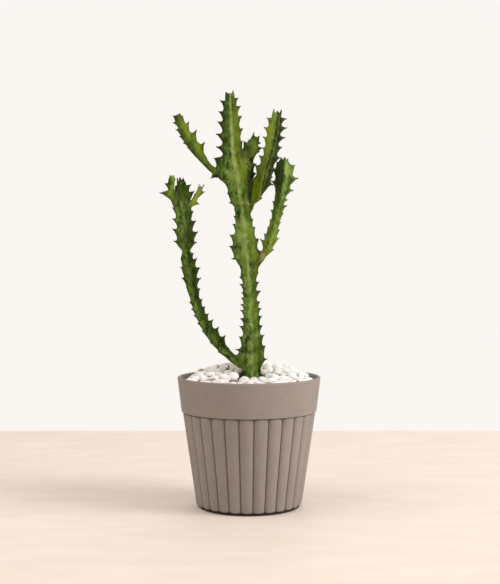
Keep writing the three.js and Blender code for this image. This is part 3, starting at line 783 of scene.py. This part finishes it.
def shapeStem(stem, rng):
    # the section at each row: a round core, and wings whose reach falls off with the cosine of the
    # angle from the wing, raised to a power. Teeth lean up the stem.
    line = stemLine(stem)
    wings = np.radians(stem["wings"]) % (2 * math.pi)
    order = np.argsort(wings)
    angles = wings[order]
    step = np.arange(section["columns"]) / section["columns"]
    crowded = step - section["crowd"] * np.sin(2 * math.pi * step) / (2 * math.pi)
    edges, columnAngle, fromWing, nearWing = [], [], [], []
    for k, which in enumerate(order):
        if which != 1:
            teeth = teethBySight(stem["left" if which == 0 else "right"], angles[k], line)
        elif "front" in stem:
            teeth = teethByHeight(stem["front"], line)
        elif "back" in stem:
            teeth = teethBySight(stem["back"], angles[k], line)
        else:
            teeth = teethEvenly(line["arcs"][-1] / (len(stem["left"]) + 1), line, rng)
        places, tips, cuts = teeth
        reach, peaks = wingEdge(places, tips, cuts, line, rng)
        edges.append({"angle": angles[k], "reach": reach, "peaks": peaks, "places": places[cuts > 0],
                      "tips": tips[cuts > 0], "keel": which == 1 and "front" in stem})
        gap = (angles[(k + 1) % 3] - angles[k]) % (2 * math.pi)
        columnAngle.append(angles[k] + gap * crowded)
        fromWing.append(1 - np.abs(1 - 2 * crowded))
        nearWing.append(np.where(crowded <= 0.5, k, (k + 1) % 3))
    columnAngle, fromWing, nearWing = (np.concatenate(part) for part in (columnAngle, fromWing, nearWing))
    keel = np.array([edge["keel"] for edge in edges])[nearWing]
    blade = ((1 + np.cos(math.pi * fromWing)) / 2) ** np.where(keel, section["keel"], section["sharpness"])
    reach, peak = (np.stack([edge[key] for edge in edges])[nearWing].T for key in ("reach", "peaks"))
    horns = horn["lift"] * stem.get("horns", 1.0)
    hornPeak = bell(line["arcs"][-1] - line["arcs"], horn["spread"] * mm)[:, None]
    core = stem["core"] * line["notch"][:, None]
    line.update({
        "edges": edges, "columnAngle": columnAngle, "angle": columnAngle[None] + line["twist"][:, None],
        "radius": core + np.maximum(reach - core, 0) * blade,
        "lift": (tooth["lift"] * peak * blade**2 + horns * hornPeak * blade) * mm, "horns": horns,
    })
    line["values"] = tintStem(line, stem, fromWing, keel)
    tip = peak**2 * smoothStep(shading["tipFrom"], 1.0, blade) * np.where(keel, shading["keelTip"], 1)
    line["values"]["tip"] = tip
    paintPatches(line, stem)
    return line


def tintStem(line, stem, fromWing, keel):
    # masks for the skin's colours: by height, by the side that a place faces, which gives painted light
    # on one side and painted shade on another, and by how far it is from the nearest wing
    def level(key, default=0):
        return byHeight(stem.get(key, default), line["heights"])[:, None]

    def facing(degrees):
        return 0.5 + 0.5 * np.cos(line["angle"] - math.radians(degrees))

    # painted shade: the deep green on the side named with deep, or past the ridge of a stem with a front
    # keel; aged only sets its least amount all round
    amount, side = stem["deep"]
    if "front" in stem:
        ridge = math.radians(stem["wings"][1]) + line["twist"][:, None]
        past = np.sin(line["angle"] - ridge) * math.copysign(1, side)
        darkSide = smoothStep(-shading["ridgeSoft"], shading["ridgeSoft"], past)
    else:
        darkSide = smoothStep(*shading["darkSide"], facing(side))
    deep = np.maximum(byHeight(amount, line["heights"])[:, None] * darkSide, level("aged"))
    lit = level("stripe")
    middle = np.where(keel, smoothStep(*shading["keelStripeFrom"], fromWing),
                      smoothStep(*shading["stripeFrom"], fromWing))
    middle = middle * (lit * (1 - deep) + stem.get("deepStripe", shading["stripeOnDark"] * lit) * deep)
    return {
        "stripe": middle + level("pale") * (1 - shading["paleLost"] * deep), "deep": deep,
        "margin": np.where(keel, 0, 1 - smoothStep(0, shading["marginTo"], fromWing)) * level("margin", 1),
        "paintedLight": facing(stem["sun"]), "fresh": level("fresh") * np.ones_like(deep),
        "scar": np.zeros_like(deep),
    }


def paintPatches(line, stem):
    # by place as seen from the front: painted shade past a sideways limit that goes by height, in the
    # crevice between stems; spots of dark, pale or brown; and pale veins
    places = skinPoints(line) / mm - [0, 0, section["startHeight"]]
    across, height = places[..., 0], places[..., 2]
    values = line["values"]
    if "darkPast" in stem:
        past = smoothStep(*shading["limitSoft"], across - byHeight(stem["darkPast"], height))
        values["deep"] = np.maximum(values["deep"], past)
        values["stripe"] = values["stripe"] * (1 - past)
    for x, z, reach, amount in stem.get("spots", []):
        near = bell(np.hypot(across - x, height - z), reach)
        dark, light = near * max(amount, 0), near * max(-amount, 0)
        values["deep"] = (values["deep"] + (1 - values["deep"]) * dark) * (1 - light)
        values["stripe"] = values["stripe"] * (1 - shading["spotOverStripe"] * dark) + light
    for x, z, reach, amount in stem.get("cork", []):
        near = bell(np.hypot(across - x, height - z), reach)
        values["scar"] = np.maximum(values["scar"], amount * near)
    for x, z, endX, endZ in stem.get("veins", []):
        run = np.array([endX - x, endZ - z])
        share = np.clip(((across - x) * run[0] + (height - z) * run[1]) / (run @ run), 0, 1)
        away = np.hypot(across - x - share * run[0], height - z - share * run[1])
        values["stripe"] = np.maximum(values["stripe"], shading["vein"] * bell(away, shading["veinWidth"]))


def spokes(line):
    # directions out from the axis: ahead times the cosine of the angle, and aside times its sine
    return (line["ahead"][:, None] * np.cos(line["angle"])[..., None]
            + line["aside"][:, None] * np.sin(line["angle"])[..., None])


def skinPoints(line, extra=0.0):
    # the axis, plus each spoke times the radius, plus the lean up the stem
    return (line["points"][:, None] + spokes(line) * (line["radius"] + extra)[..., None]
            + line["along"][:, None] * line["lift"][..., None])


def nearSkin(points, line):
    # for any points: how far they are outside a stem's skin, and the row and column nearest them
    flat = points.reshape(-1, 3)
    row = (np.sum(line["points"] ** 2, axis=1)[None] - 2 * flat @ line["points"].T).argmin(axis=1)
    offset = flat - line["points"][row]
    sideways, forwards = (np.sum(offset * line[key][row], axis=1) for key in ("aside", "ahead"))
    start = line["columnAngle"][0]
    angle = np.arctan2(sideways, forwards) - line["twist"][row]
    turned = (angle - start) % (2 * math.pi) + start
    columns = len(line["columnAngle"])
    high = np.searchsorted(line["columnAngle"], turned)
    ring = np.append(line["columnAngle"], start + 2 * math.pi)
    share = (turned - ring[high - 1]) / (ring[high] - ring[high - 1])
    radius = line["radius"][row, high - 1] * (1 - share) + line["radius"][row, high % columns] * share
    away = np.linalg.norm(offset, axis=1) - radius
    return [part.reshape(points.shape[:-1]) for part in (away, row, high % columns)]


def joinSkins(one, other, width, scar=None):
    # the smooth minimum of two distances: near the other stem, a skin swells by up to a quarter of
    # the join's width. A few rounds settle it. A branch, which has a scar, also takes the parent's
    # colours there, and its skin is scarred just outside the parent's.
    reach = np.linalg.norm(one["points"][:, None] - other["points"][None], axis=-1).min(axis=1)
    rows = np.flatnonzero(reach < seam["near"] * mm + width)
    part = {key: one[key][rows] for key in ("points", "along", "ahead", "aside", "angle", "radius", "lift")}
    swell = np.zeros_like(part["radius"])
    for _ in range(seam["rounds"]):
        away = nearSkin(skinPoints(part, swell), other)[0]
        swell = 0.5 * swell + 0.5 * width / 4 * np.clip(1 - np.abs(away - swell) / width, 0, 1) ** 2
    if scar is not None:
        away, row, column = nearSkin(skinPoints(part), other)
        low, high = seam["own"]
        own = smoothStep(low * width, high * width, away)
        for key, values in one["values"].items():
            values[rows] = values[rows] * own + other["values"][key][row, column] * (1 - own)
        brown = byHeight(scar, one["heights"][rows])[:, None]
        brown = brown * bell(away / mm - seam["scarOut"], seam["scarWidth"])
        one["values"]["scar"][rows] = np.maximum(one["values"]["scar"][rows], brown)
    return rows, swell


def finishStem(name, line):
    # the last row closes over a shallow trough between the horns
    grid = skinPoints(line)
    spoke = spokes(line)[-1]
    inward = np.linspace(0, 1, horn["rows"] + 1)[1:, None, None]
    dip = horn["dip"] * line["horns"] * mm * np.sin(inward * math.pi / 2)
    trough = line["lift"][-1][None, :, None] * (1 - inward) ** 2 - dip
    cap = (line["points"][-1] + (spoke * line["radius"][-1][:, None])[None] * (1 - inward * horn["closing"])
           + line["along"][-1] * trough)
    ends = np.array([line["points"][0] - line["along"][0] * mm, cap[-1].mean(axis=0)])
    values = {key: np.concatenate([v, np.repeat(v[-1:], horn["rows"], axis=0)])[None]
              for key, v in line["values"].items()}
    return closedForms(name, np.concatenate([grid, cap])[None], ends[None], values)


spine = {
    "rings": 4, "sides": 6, "length": (0.8, 1.3), "radius": 0.8, "sink": 0.9, "keelLength": 0.85,
    "splay": 16, "splayUneven": (0.3, 1.5), "rise": (0.3, 0.9), "lengthUneven": (0.8, 1.2), "bend": 0.25,
    "clear": 0.4, "end": 0.9, "thinning": 0.8, "slimming": 0.3, "standing": (0.5, 5), "hornLoss": 0.5,
}


def growSpines(name, line, others, rng):
    # a pair on each tooth: cones that thin to a point, and bend up the stem by the square of the
    # distance from the root. Their length goes by how far the tooth stands out.
    parts = []
    short, longest = spine["length"]
    least, most = spine["standing"]
    for edge in line["edges"]:
        row = np.searchsorted(line["arcs"], edge["places"]).clip(0, len(line["arcs"]) - 1)
        turned = (edge["angle"] + line["twist"][row])[:, None]
        outward = line["ahead"][row] * np.cos(turned) + line["aside"][row] * np.sin(turned)
        along = line["along"][row]
        onHorn = bell(line["arcs"][-1] - edge["places"], horn["spread"] * mm)
        raised = (tooth["lift"] + line["horns"] * onHorn) * mm
        tip = line["points"][row] + outward * edge["reach"][row][:, None] + along * raised[:, None]
        stand = np.clip((edge["tips"] - line["notch"][row]) / mm, least, most) / most
        long = short + (longest - short) * stand * (1 - spine["hornLoss"] * onHorn)
        if edge["keel"]:
            long = long * spine["keelLength"]
        for hand in (-1, 1):
            parts.append((tip, outward, along, np.cross(along, outward) * hand, long))
    parts = [np.concatenate(part) for part in zip(*parts)]
    clear = [nearSkin(parts[0], other)[0] > spine["clear"] * mm for other in others]
    roots, out, up, side, long = (part[np.all(clear, axis=0)] for part in parts)
    count = len(roots)
    splay = np.radians(rng.uniform(*spine["splayUneven"], count) * spine["splay"])[:, None]
    rise = rng.uniform(*spine["rise"], count)[:, None]
    heading = unit(out + up * rise + side * np.tan(splay))
    length = (long * rng.uniform(*spine["lengthUneven"], count))[:, None, None, None] * mm
    start = roots - heading * spine["sink"] * mm
    across = unit(np.cross(heading, up))[:, None]
    over = np.cross(heading, across[:, 0])[:, None]
    t = np.linspace(0, spine["end"], spine["rings"])[None, :, None, None]
    thick = spine["radius"] * mm * (1 - t) ** spine["thinning"]
    thick = thick * (length / (longest * mm)) ** spine["slimming"]
    whole = length + spine["sink"] * mm
    bend = up[:, None, None] * t**2 * whole * spine["bend"]
    grid = start[:, None, None] + heading[:, None, None] * t * whole + bend
    grid = grid + ringAround(across, over, spine["sides"]) * thick
    point = start + (heading + up * spine["bend"]) * whole[:, 0, 0]
    reach = np.broadcast_to(t[..., 0], grid.shape[:3])
    return closedForms(name, grid, np.stack([start, point], axis=1), {"reach": reach})


longSpines = {   # root, middle and tip: sideways, depth and height
    "onRightBranch": ((28.5, -15, 351.8), (25.6, -17, 350.2), (22.4, -18, 350.6)),
    "onMainStem": ((-4.2, -9, 341), (-2.6, -11, 336.4), (0.6, -11, 335)),
    "onCentreShoot": ((-4.4, -12, 369.6), (-3.4, -15, 367.2), (-2, -16, 363.4)),
}
longSpine = {"rings": 8, "sides": 6, "radius": 0.5, "thinning": 0.6, "end": 0.93, "paleFrom": 0.4}


def growLongSpines(finish):
    # the few long curved spines: rods along a parabola through three points, thinning to the tip
    root, middle, tip = np.moveaxis(np.array(list(longSpines.values())), 1, 0)
    root, middle, tip = (part + [0, 0, section["startHeight"]] for part in (root, middle, tip))
    bend = 2 * middle - (root + tip) / 2
    t = np.linspace(0, longSpine["end"], longSpine["rings"])[None, :, None]
    line = (1 - t) ** 2 * root[:, None] + 2 * t * (1 - t) * bend[:, None] + t**2 * tip[:, None]
    along = unit(2 * (1 - t) * (bend - root)[:, None] + 2 * t * (tip - bend)[:, None])
    across = unit(np.cross(along, [0, -1, 0]))
    over = np.cross(along, across)
    thick = (longSpine["radius"] * (1 - t) ** longSpine["thinning"])[..., None]
    grid = line[:, :, None] + ringAround(across, over, longSpine["sides"]) * thick
    pale = longSpine["paleFrom"]
    values = {"reach": np.broadcast_to(pale + (1 - pale) * t, grid.shape[:3])}
    piece = closedForms("longSpines", grid * mm, np.stack([root, tip], axis=1) * mm, values)
    settle(piece, finish, "spine_horn")


skin = {   # screen colours, and the values of mottles, grain and bump
    "tones": {
        "dark": (26, 50, 8), "mid": (95, 123, 47), "bright": (145, 170, 50), "stripe": (158, 179, 99),
        "deepDark": (12, 28, 6), "deepMid": (44, 64, 26), "fresh": (148, 168, 34), "tip": (54, 28, 20),
        "scar": (182, 152, 122),
    },
    "shade": (150, 600, 0.43, 0.54, 0.5), "paintedLight": (110, 500, 0.43, 0.55, 0.4),
    "deep": (150, 600, 0.4, 0.62, 0.6), "ragged": (200, 480, 0.34, 0.66, 0.6),
    "veins": (240, 700, 0.5, 0.62, 0.5), "veinShare": 0.3, "veinLostOnDark": 0.24,
    "paintedLightRamp": (0.3, 0.9), "stripeRamp": (0.4, 1.35), "stripeRagged": 0.4, "tipRamp": (0.4, 0.95),
    "freshShare": 0.8, "marginShare": 0.7, "lumps": 1.6,
    "grain": 700, "roughness": (0.45, 0.62), "bump": (0.7, 0.0005), "specular": 0.2,
    "gloss": (212, 225, 112),
}
hornFinish = {
    "root": (56, 26, 20), "point": (120, 82, 66), "ramp": (0.2, 1.0), "grain": 2500, "roughness": (0.4, 0.6),
}


def stemMaterial():
    # a mottled green, with one colour after another laid over it by its mask
    material, tree, shader = newMaterial("stemSkin")
    greens = tonesOf(skin)
    names = ("paintedLight", "fresh", "deep", "stripe", "margin", "scar", "tip")
    masks = {name: attribute(tree, name) for name in names}

    def times(first, second):
        return maths(tree, "MULTIPLY", first, second)

    # painted light: the brighter mottle on the side that sun names. The deep mottle is painted shade where
    # its mask comes from a side or from darkPast, and elsewhere a darker tone of the skin
    color = mottling(tree, skin["shade"], greens["dark"], greens["mid"])["Color"]
    paintedLight = mottling(tree, skin["paintedLight"], greens["mid"], greens["bright"])["Color"]
    deep = mottling(tree, skin["deep"], greens["deepDark"], greens["deepMid"])["Color"]
    ragged, veins = (mottling(tree, skin[key])["Mask"] for key in ("ragged", "veins"))
    faint = maths(tree, "SUBTRACT", skin["veinShare"], times(masks["deep"], skin["veinLostOnDark"]))
    stripe = maths(tree, "ADD", masks["stripe"], times(ragged, skin["stripeRagged"]))
    for share, over in (
        (ramp(tree, masks["paintedLight"], *skin["paintedLightRamp"]), paintedLight),
        (times(masks["fresh"], skin["freshShare"]), greens["fresh"]),
        (masks["deep"], deep),
        (times(veins, faint), greens["stripe"]),
        (ramp(tree, stripe, *skin["stripeRamp"]), greens["stripe"]),
        (times(masks["margin"], skin["marginShare"]), greens["deepMid"]),
        (times(masks["scar"], ragged), greens["scar"]),
        (ramp(tree, masks["tip"], *skin["tipRamp"]), greens["tip"]),
    ):
        color = blend(tree, share, color, over)
    dress(tree, shader, color, skin, times(ragged, skin["lumps"]))
    shader.inputs["Specular IOR Level"].default_value = skin["specular"]
    shader.inputs["Specular Tint"].default_value = tone(*skin["gloss"])
    return material


def spineMaterial():
    material, tree, shader = newMaterial("darkHorn")
    share = ramp(tree, attribute(tree, "reach"), *hornFinish["ramp"])
    color = blend(tree, share, tone(*hornFinish["root"]), tone(*hornFinish["point"]))
    dress(tree, shader, color, hornFinish)
    return material


def growPlant():
    lines = {name: shapeStem(stem, np.random.default_rng(seeds["stems"] + number))
             for number, (name, stem) in enumerate(stems.items())}
    swells = []
    for name, stem in stems.items():
        if "grows" in stem:
            branch, parent, width = lines[name], lines[stem["grows"]], stem["join"] * mm
            swells.append((branch, *joinSkins(branch, parent, width, stem["scar"])))
            swells.append((parent, *joinSkins(parent, branch, width)))
    for line, rows, swell in swells:
        line["radius"][rows] += swell
    stemFinish, spineFinish = stemMaterial(), spineMaterial()
    for number, (name, stem) in enumerate(stems.items()):
        slot = "young_stem_skin" if stem["node"].endswith("shoot") else "stem_skin"
        settle(finishStem(name, lines[name]), stemFinish, slot, stem["node"])
        near = [lines[other] for other in stems
                if stems[other].get("grows") == name or stem.get("grows") == other]
        rng = np.random.default_rng(seeds["spines"] + number)
        settle(growSpines(name + "Spines", lines[name], near, rng), spineFinish, "spine_horn")
    growLongSpines(spineFinish)
    print("stems are grown")


growPlant()


# pebbles and soil

moundPlan = {"edge": 130.5, "shoulder": 8, "crown": 3, "backRise": 13, "backReach": 36, "radius": 71.5,
             "dip": 2.2, "dipAt": (4, -12), "dipReach": 15}
pebblePlan = {
    "fillCount": 96, "lowCount": 170, "wall": 67.6, "fillDrop": 0.3, "lowDrop": 6.5, "unevenness": 1.1,
    "length": (5.2, 7.4), "width": (4.5, 6.2), "height": (3.7, 4.8), "sunk": 0.95, "spacing": 0.97,
    "topForm": (12, 20), "fillForm": (6, 10), "lowForm": (5, 8),   # rings and sides
    "topTilt": 0.1, "lowTilt": 0.22, "rounds": 260, "push": 0.35, "firstTurn": 1.0, "inmost": 0.03,
    "topClear": 0.9,
    "waves": 1.9, "dents": 0.07, "roundness": (0.86, 0.86, 0.82),
    "keepClear": [((3.4, 0), 9.5), ((-7, -1), 7)],
    # tints up to 1 are the stones' own white to beige; under, lowTints and grey push them towards brown,
    # painted shade under and between the stones and partly behind the stem
    "tints": (0.1, 0.95), "lowTints": (0.95, 1.25), "under": 1.1, "underFrom": (0.65, -0.25),
    "greyAround": [((-17, 22), 17, 0.65), ((20, 18), 9, 1.3), ((26, 34), 10, 0.4)],
    "grey": (0.95, 0.2),
}


def moundHeight(x, y):
    # the pebbles' upper surface: a flat dome that falls at the wall and rises to the back, with a
    # shallow dip in front of the stem
    m = moundPlan
    share = np.hypot(x, y) / m["radius"]
    back = np.clip(y / m["backReach"], -0.5, 1)
    dip = m["dip"] * np.exp(-((x - m["dipAt"][0]) ** 2 + (y - m["dipAt"][1]) ** 2) / m["dipReach"] ** 2)
    dome = (m["crown"] + m["backRise"] * back) * (1 - share**2)
    return m["edge"] + m["shoulder"] * (1 - share**6) + dome - dip


def spreadOut(places, sizes, fixed, fixedSizes):
    # pushes overlapping pebbles apart in plan, keeps them off the stem and inside the wall
    for _ in range(pebblePlan["rounds"]):
        others = np.concatenate([places, fixed])
        gap = places[:, None] - others[None]
        distance = np.linalg.norm(gap, axis=-1) + 1e-9
        wanted = sizes[:, None] + np.concatenate([sizes, fixedSizes])[None]
        push = np.clip(wanted - distance, 0, None) * pebblePlan["push"]
        push[:, :len(places)][np.eye(len(places), dtype=bool)] = 0
        places = places + (gap / distance[..., None] * push[..., None]).sum(axis=1)
        limit = pebblePlan["wall"] - sizes
        places = places * np.minimum(1, limit / np.linalg.norm(places, axis=1))[:, None]
    return places


def stoneForms(centres, halves, ups, rng, form):
    # worn pebbles: a sphere of rings and sides, swollen and dented by three slow waves, scaled to
    # the half sizes, turned about its own axis and laid to the slope
    p = pebblePlan
    count = len(centres)
    rings, sides = form
    rise = np.linspace(0, math.pi, rings + 2)[1:-1, None]
    turn = turnsOf(sides)
    ball = np.stack([np.sin(rise) * np.cos(turn), np.sin(rise) * np.sin(turn),
                     -np.cos(rise) * np.ones(sides)], axis=-1)
    shape = np.concatenate([ball.reshape(-1, 3), [[0, 0, -1], [0, 0, 1]]])
    waves = rng.normal(0, p["waves"], (count, 3, 3))
    phases = rng.uniform(0, 2 * math.pi, (count, 3))
    swell = 1 + p["dents"] * np.sin(np.einsum("pk,nwk->npw", shape, waves) + phases[:, None]).sum(axis=-1)
    body = shape[None] * swell[..., None]
    body = np.sign(body) * np.abs(body) ** np.array(p["roundness"]) * halves[:, None]
    spin = rng.uniform(0, math.pi, count)
    east = np.stack([np.cos(spin), np.sin(spin), np.zeros(count)], axis=1)
    east = unit(east - (east * ups).sum(axis=1, keepdims=True) * ups)
    axes = np.stack([east, np.cross(ups, east), ups], axis=1)
    body = np.einsum("npk,nkj->npj", body, axes) + centres[:, None]
    return body[:, :-2].reshape(count, rings, sides, 3), body[:, -2:]


def slopeAt(x, y, rng, tilt):
    # the way up from the mound's surface, tilted a little at random
    dx = (moundHeight(x + 0.5, y) - moundHeight(x - 0.5, y)) + rng.normal(0, tilt, np.shape(x))
    dy = (moundHeight(x, y + 0.5) - moundHeight(x, y - 0.5)) + rng.normal(0, tilt, np.shape(x))
    return unit(np.stack([-dx, -dy, np.ones_like(dx)], axis=1))


stoneFinish = {
    "tones": {
        "white": (248, 246, 245), "beige": (216, 207, 199), "brownStoneAndShade": (128, 104, 84), "vein": (210, 199, 189),
    },
    "mottling": (130, 600, 0.5, 0.7, 1), "beigeRamp": (0.7, 1.0), "brownStoneAndShadeRamp": (1.0, 1.3),
    "grain": 1100, "roughness": (0.42, 0.62), "bump": (0.3, 0.0003),
}


def stoneMaterial():
    material, tree, shader = newMaterial("whiteStone")
    tones = tonesOf(stoneFinish)
    # white to beige is the stones' own tone; the brown past it is painted shade, and behind the stem partly
    # greyer stones
    color = tones["white"]
    for key in ("beige", "brownStoneAndShade"):
        share = ramp(tree, attribute(tree, "tint"), *stoneFinish[key + "Ramp"])
        color = blend(tree, share, color, tones[key])
    veined = mottling(tree, stoneFinish["mottling"], color, tones["vein"])
    dress(tree, shader, veined["Color"], stoneFinish)
    return material


def shadedUndersides(tints, form):
    # the stones' tints at their points: browner on the underside, which is painted shade
    rings, sides = form
    under = smoothStep(*pebblePlan["underFrom"], -np.cos(np.linspace(0, math.pi, rings + 2)[1:-1]))
    shades = tints[:, None] + pebblePlan["under"] * under
    return np.broadcast_to(shades[..., None], (len(tints), rings, sides))


def stoneTints(places, rng):
    # up to 1 from white to beige, above it grey-brown: the odd stone behind the stem, mostly left, partly
    # a greyer stone and partly painted shade
    tints = rng.uniform(*pebblePlan["tints"], len(places))
    chance = sum(share * np.exp(-((places - spot) ** 2).sum(axis=1) / reach**2)
                 for spot, reach, share in pebblePlan["greyAround"])
    least, more = pebblePlan["grey"]
    return np.where(rng.uniform(0, 1, len(places)) < chance, least + more * tints, tints)


def stoneSizes(count, rng):
    # random half sizes along each stone's own three axes
    return np.stack([rng.uniform(*pebblePlan[key], count) for key in ("length", "width", "height")], axis=1)


def layPebbles():
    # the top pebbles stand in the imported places; between and under them lie the smaller ones,
    # started on a sunflower spiral and pushed apart
    p = pebblePlan
    rng = np.random.default_rng(seeds["pebbles"])
    finish = stoneMaterial()
    nodes = sorted(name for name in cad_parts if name.startswith("pebble_") and name != "pebble_bed")
    boxes = np.array([[list(corner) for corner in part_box(name)] for name in nodes]) / mm
    centres = boxes.mean(axis=1)
    across = np.ptp(boxes, axis=1)[:, :2].mean(axis=1) / 2
    halves = stoneSizes(len(nodes), rng)
    halves[:, :2] *= (across / halves[:, :2].mean(axis=1))[:, None]
    ups = slopeAt(centres[:, 0], centres[:, 1], rng, p["topTilt"])
    grid, ends = stoneForms(centres, halves, ups, rng, p["topForm"])
    tints = shadedUndersides(stoneTints(centres[:, :2], rng), p["topForm"])
    for k, name in enumerate(nodes):
        one = slice(k, k + 1)
        stone = closedForms(name.replace("pebble_", "whitePebble"), grid[one] * mm, ends[one] * mm,
                            {"tint": tints[one]})
        settle(stone, finish, "pebble_stone", name)
    stemPlaces, stemSizes = (np.array(part) for part in zip(*p["keepClear"]))
    allPlaces = np.concatenate([centres[:, :2], stemPlaces])
    allSizes = np.concatenate([across * p["topClear"], stemSizes])
    for name, key, fixed, fixedSizes, replaced in (
        ("smallWhitePebbles", "fill", allPlaces, allSizes, []),
        ("lowerPebbles", "low", stemPlaces, stemSizes, ["pebble_bed"]),
    ):
        count, form = p[key + "Count"], p[key + "Form"]
        halves = stoneSizes(count, rng)
        radius = np.sqrt(rng.uniform(p["inmost"], 1, count)) * p["wall"]
        turn = np.arange(count) * golden + p["firstTurn"]
        start = np.stack([radius * np.cos(turn), radius * np.sin(turn)], axis=1)
        spots = spreadOut(start, halves[:, :2].mean(axis=1) * p["spacing"], fixed, fixedSizes)
        x, y = spots.T
        ups = slopeAt(x, y, rng, p["lowTilt"])
        top = moundHeight(x, y) + rng.normal(0, p["unevenness"], count) - p[key + "Drop"]
        middle = np.stack([x, y, top - halves[:, 2] * p["sunk"]], axis=1)
        grid, ends = stoneForms(middle, halves, ups, rng, form)
        # the lower layer is browner: painted shade in the gaps between the top stones
        tints = stoneTints(spots, rng) if key == "fill" else rng.uniform(*p["lowTints"], count)
        stones = closedForms(name, grid * mm, ends * mm, {"tint": shadedUndersides(tints, form)})
        settle(stones, finish, "pebble_stone", *replaced)
    print("pebbles are laid")


soilFinish = {
    "tones": ((52, 38, 30), (86, 66, 50)), "mottling": (260, 1400, 0.4, 0.6, 1),
    "grain": 500, "roughness": (0.85, 1.0), "bump": (0.9, 0.002),
}


def soilMaterial():
    material, tree, shader = newMaterial("darkSoil")
    crumbs = mottling(tree, soilFinish["mottling"], *(tone(*color) for color in soilFinish["tones"]))
    dress(tree, shader, crumbs["Color"], soilFinish)
    return material


layPebbles()
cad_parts["potting_soil"].material_slots[0].material = soilMaterial()
print("soil is finished")
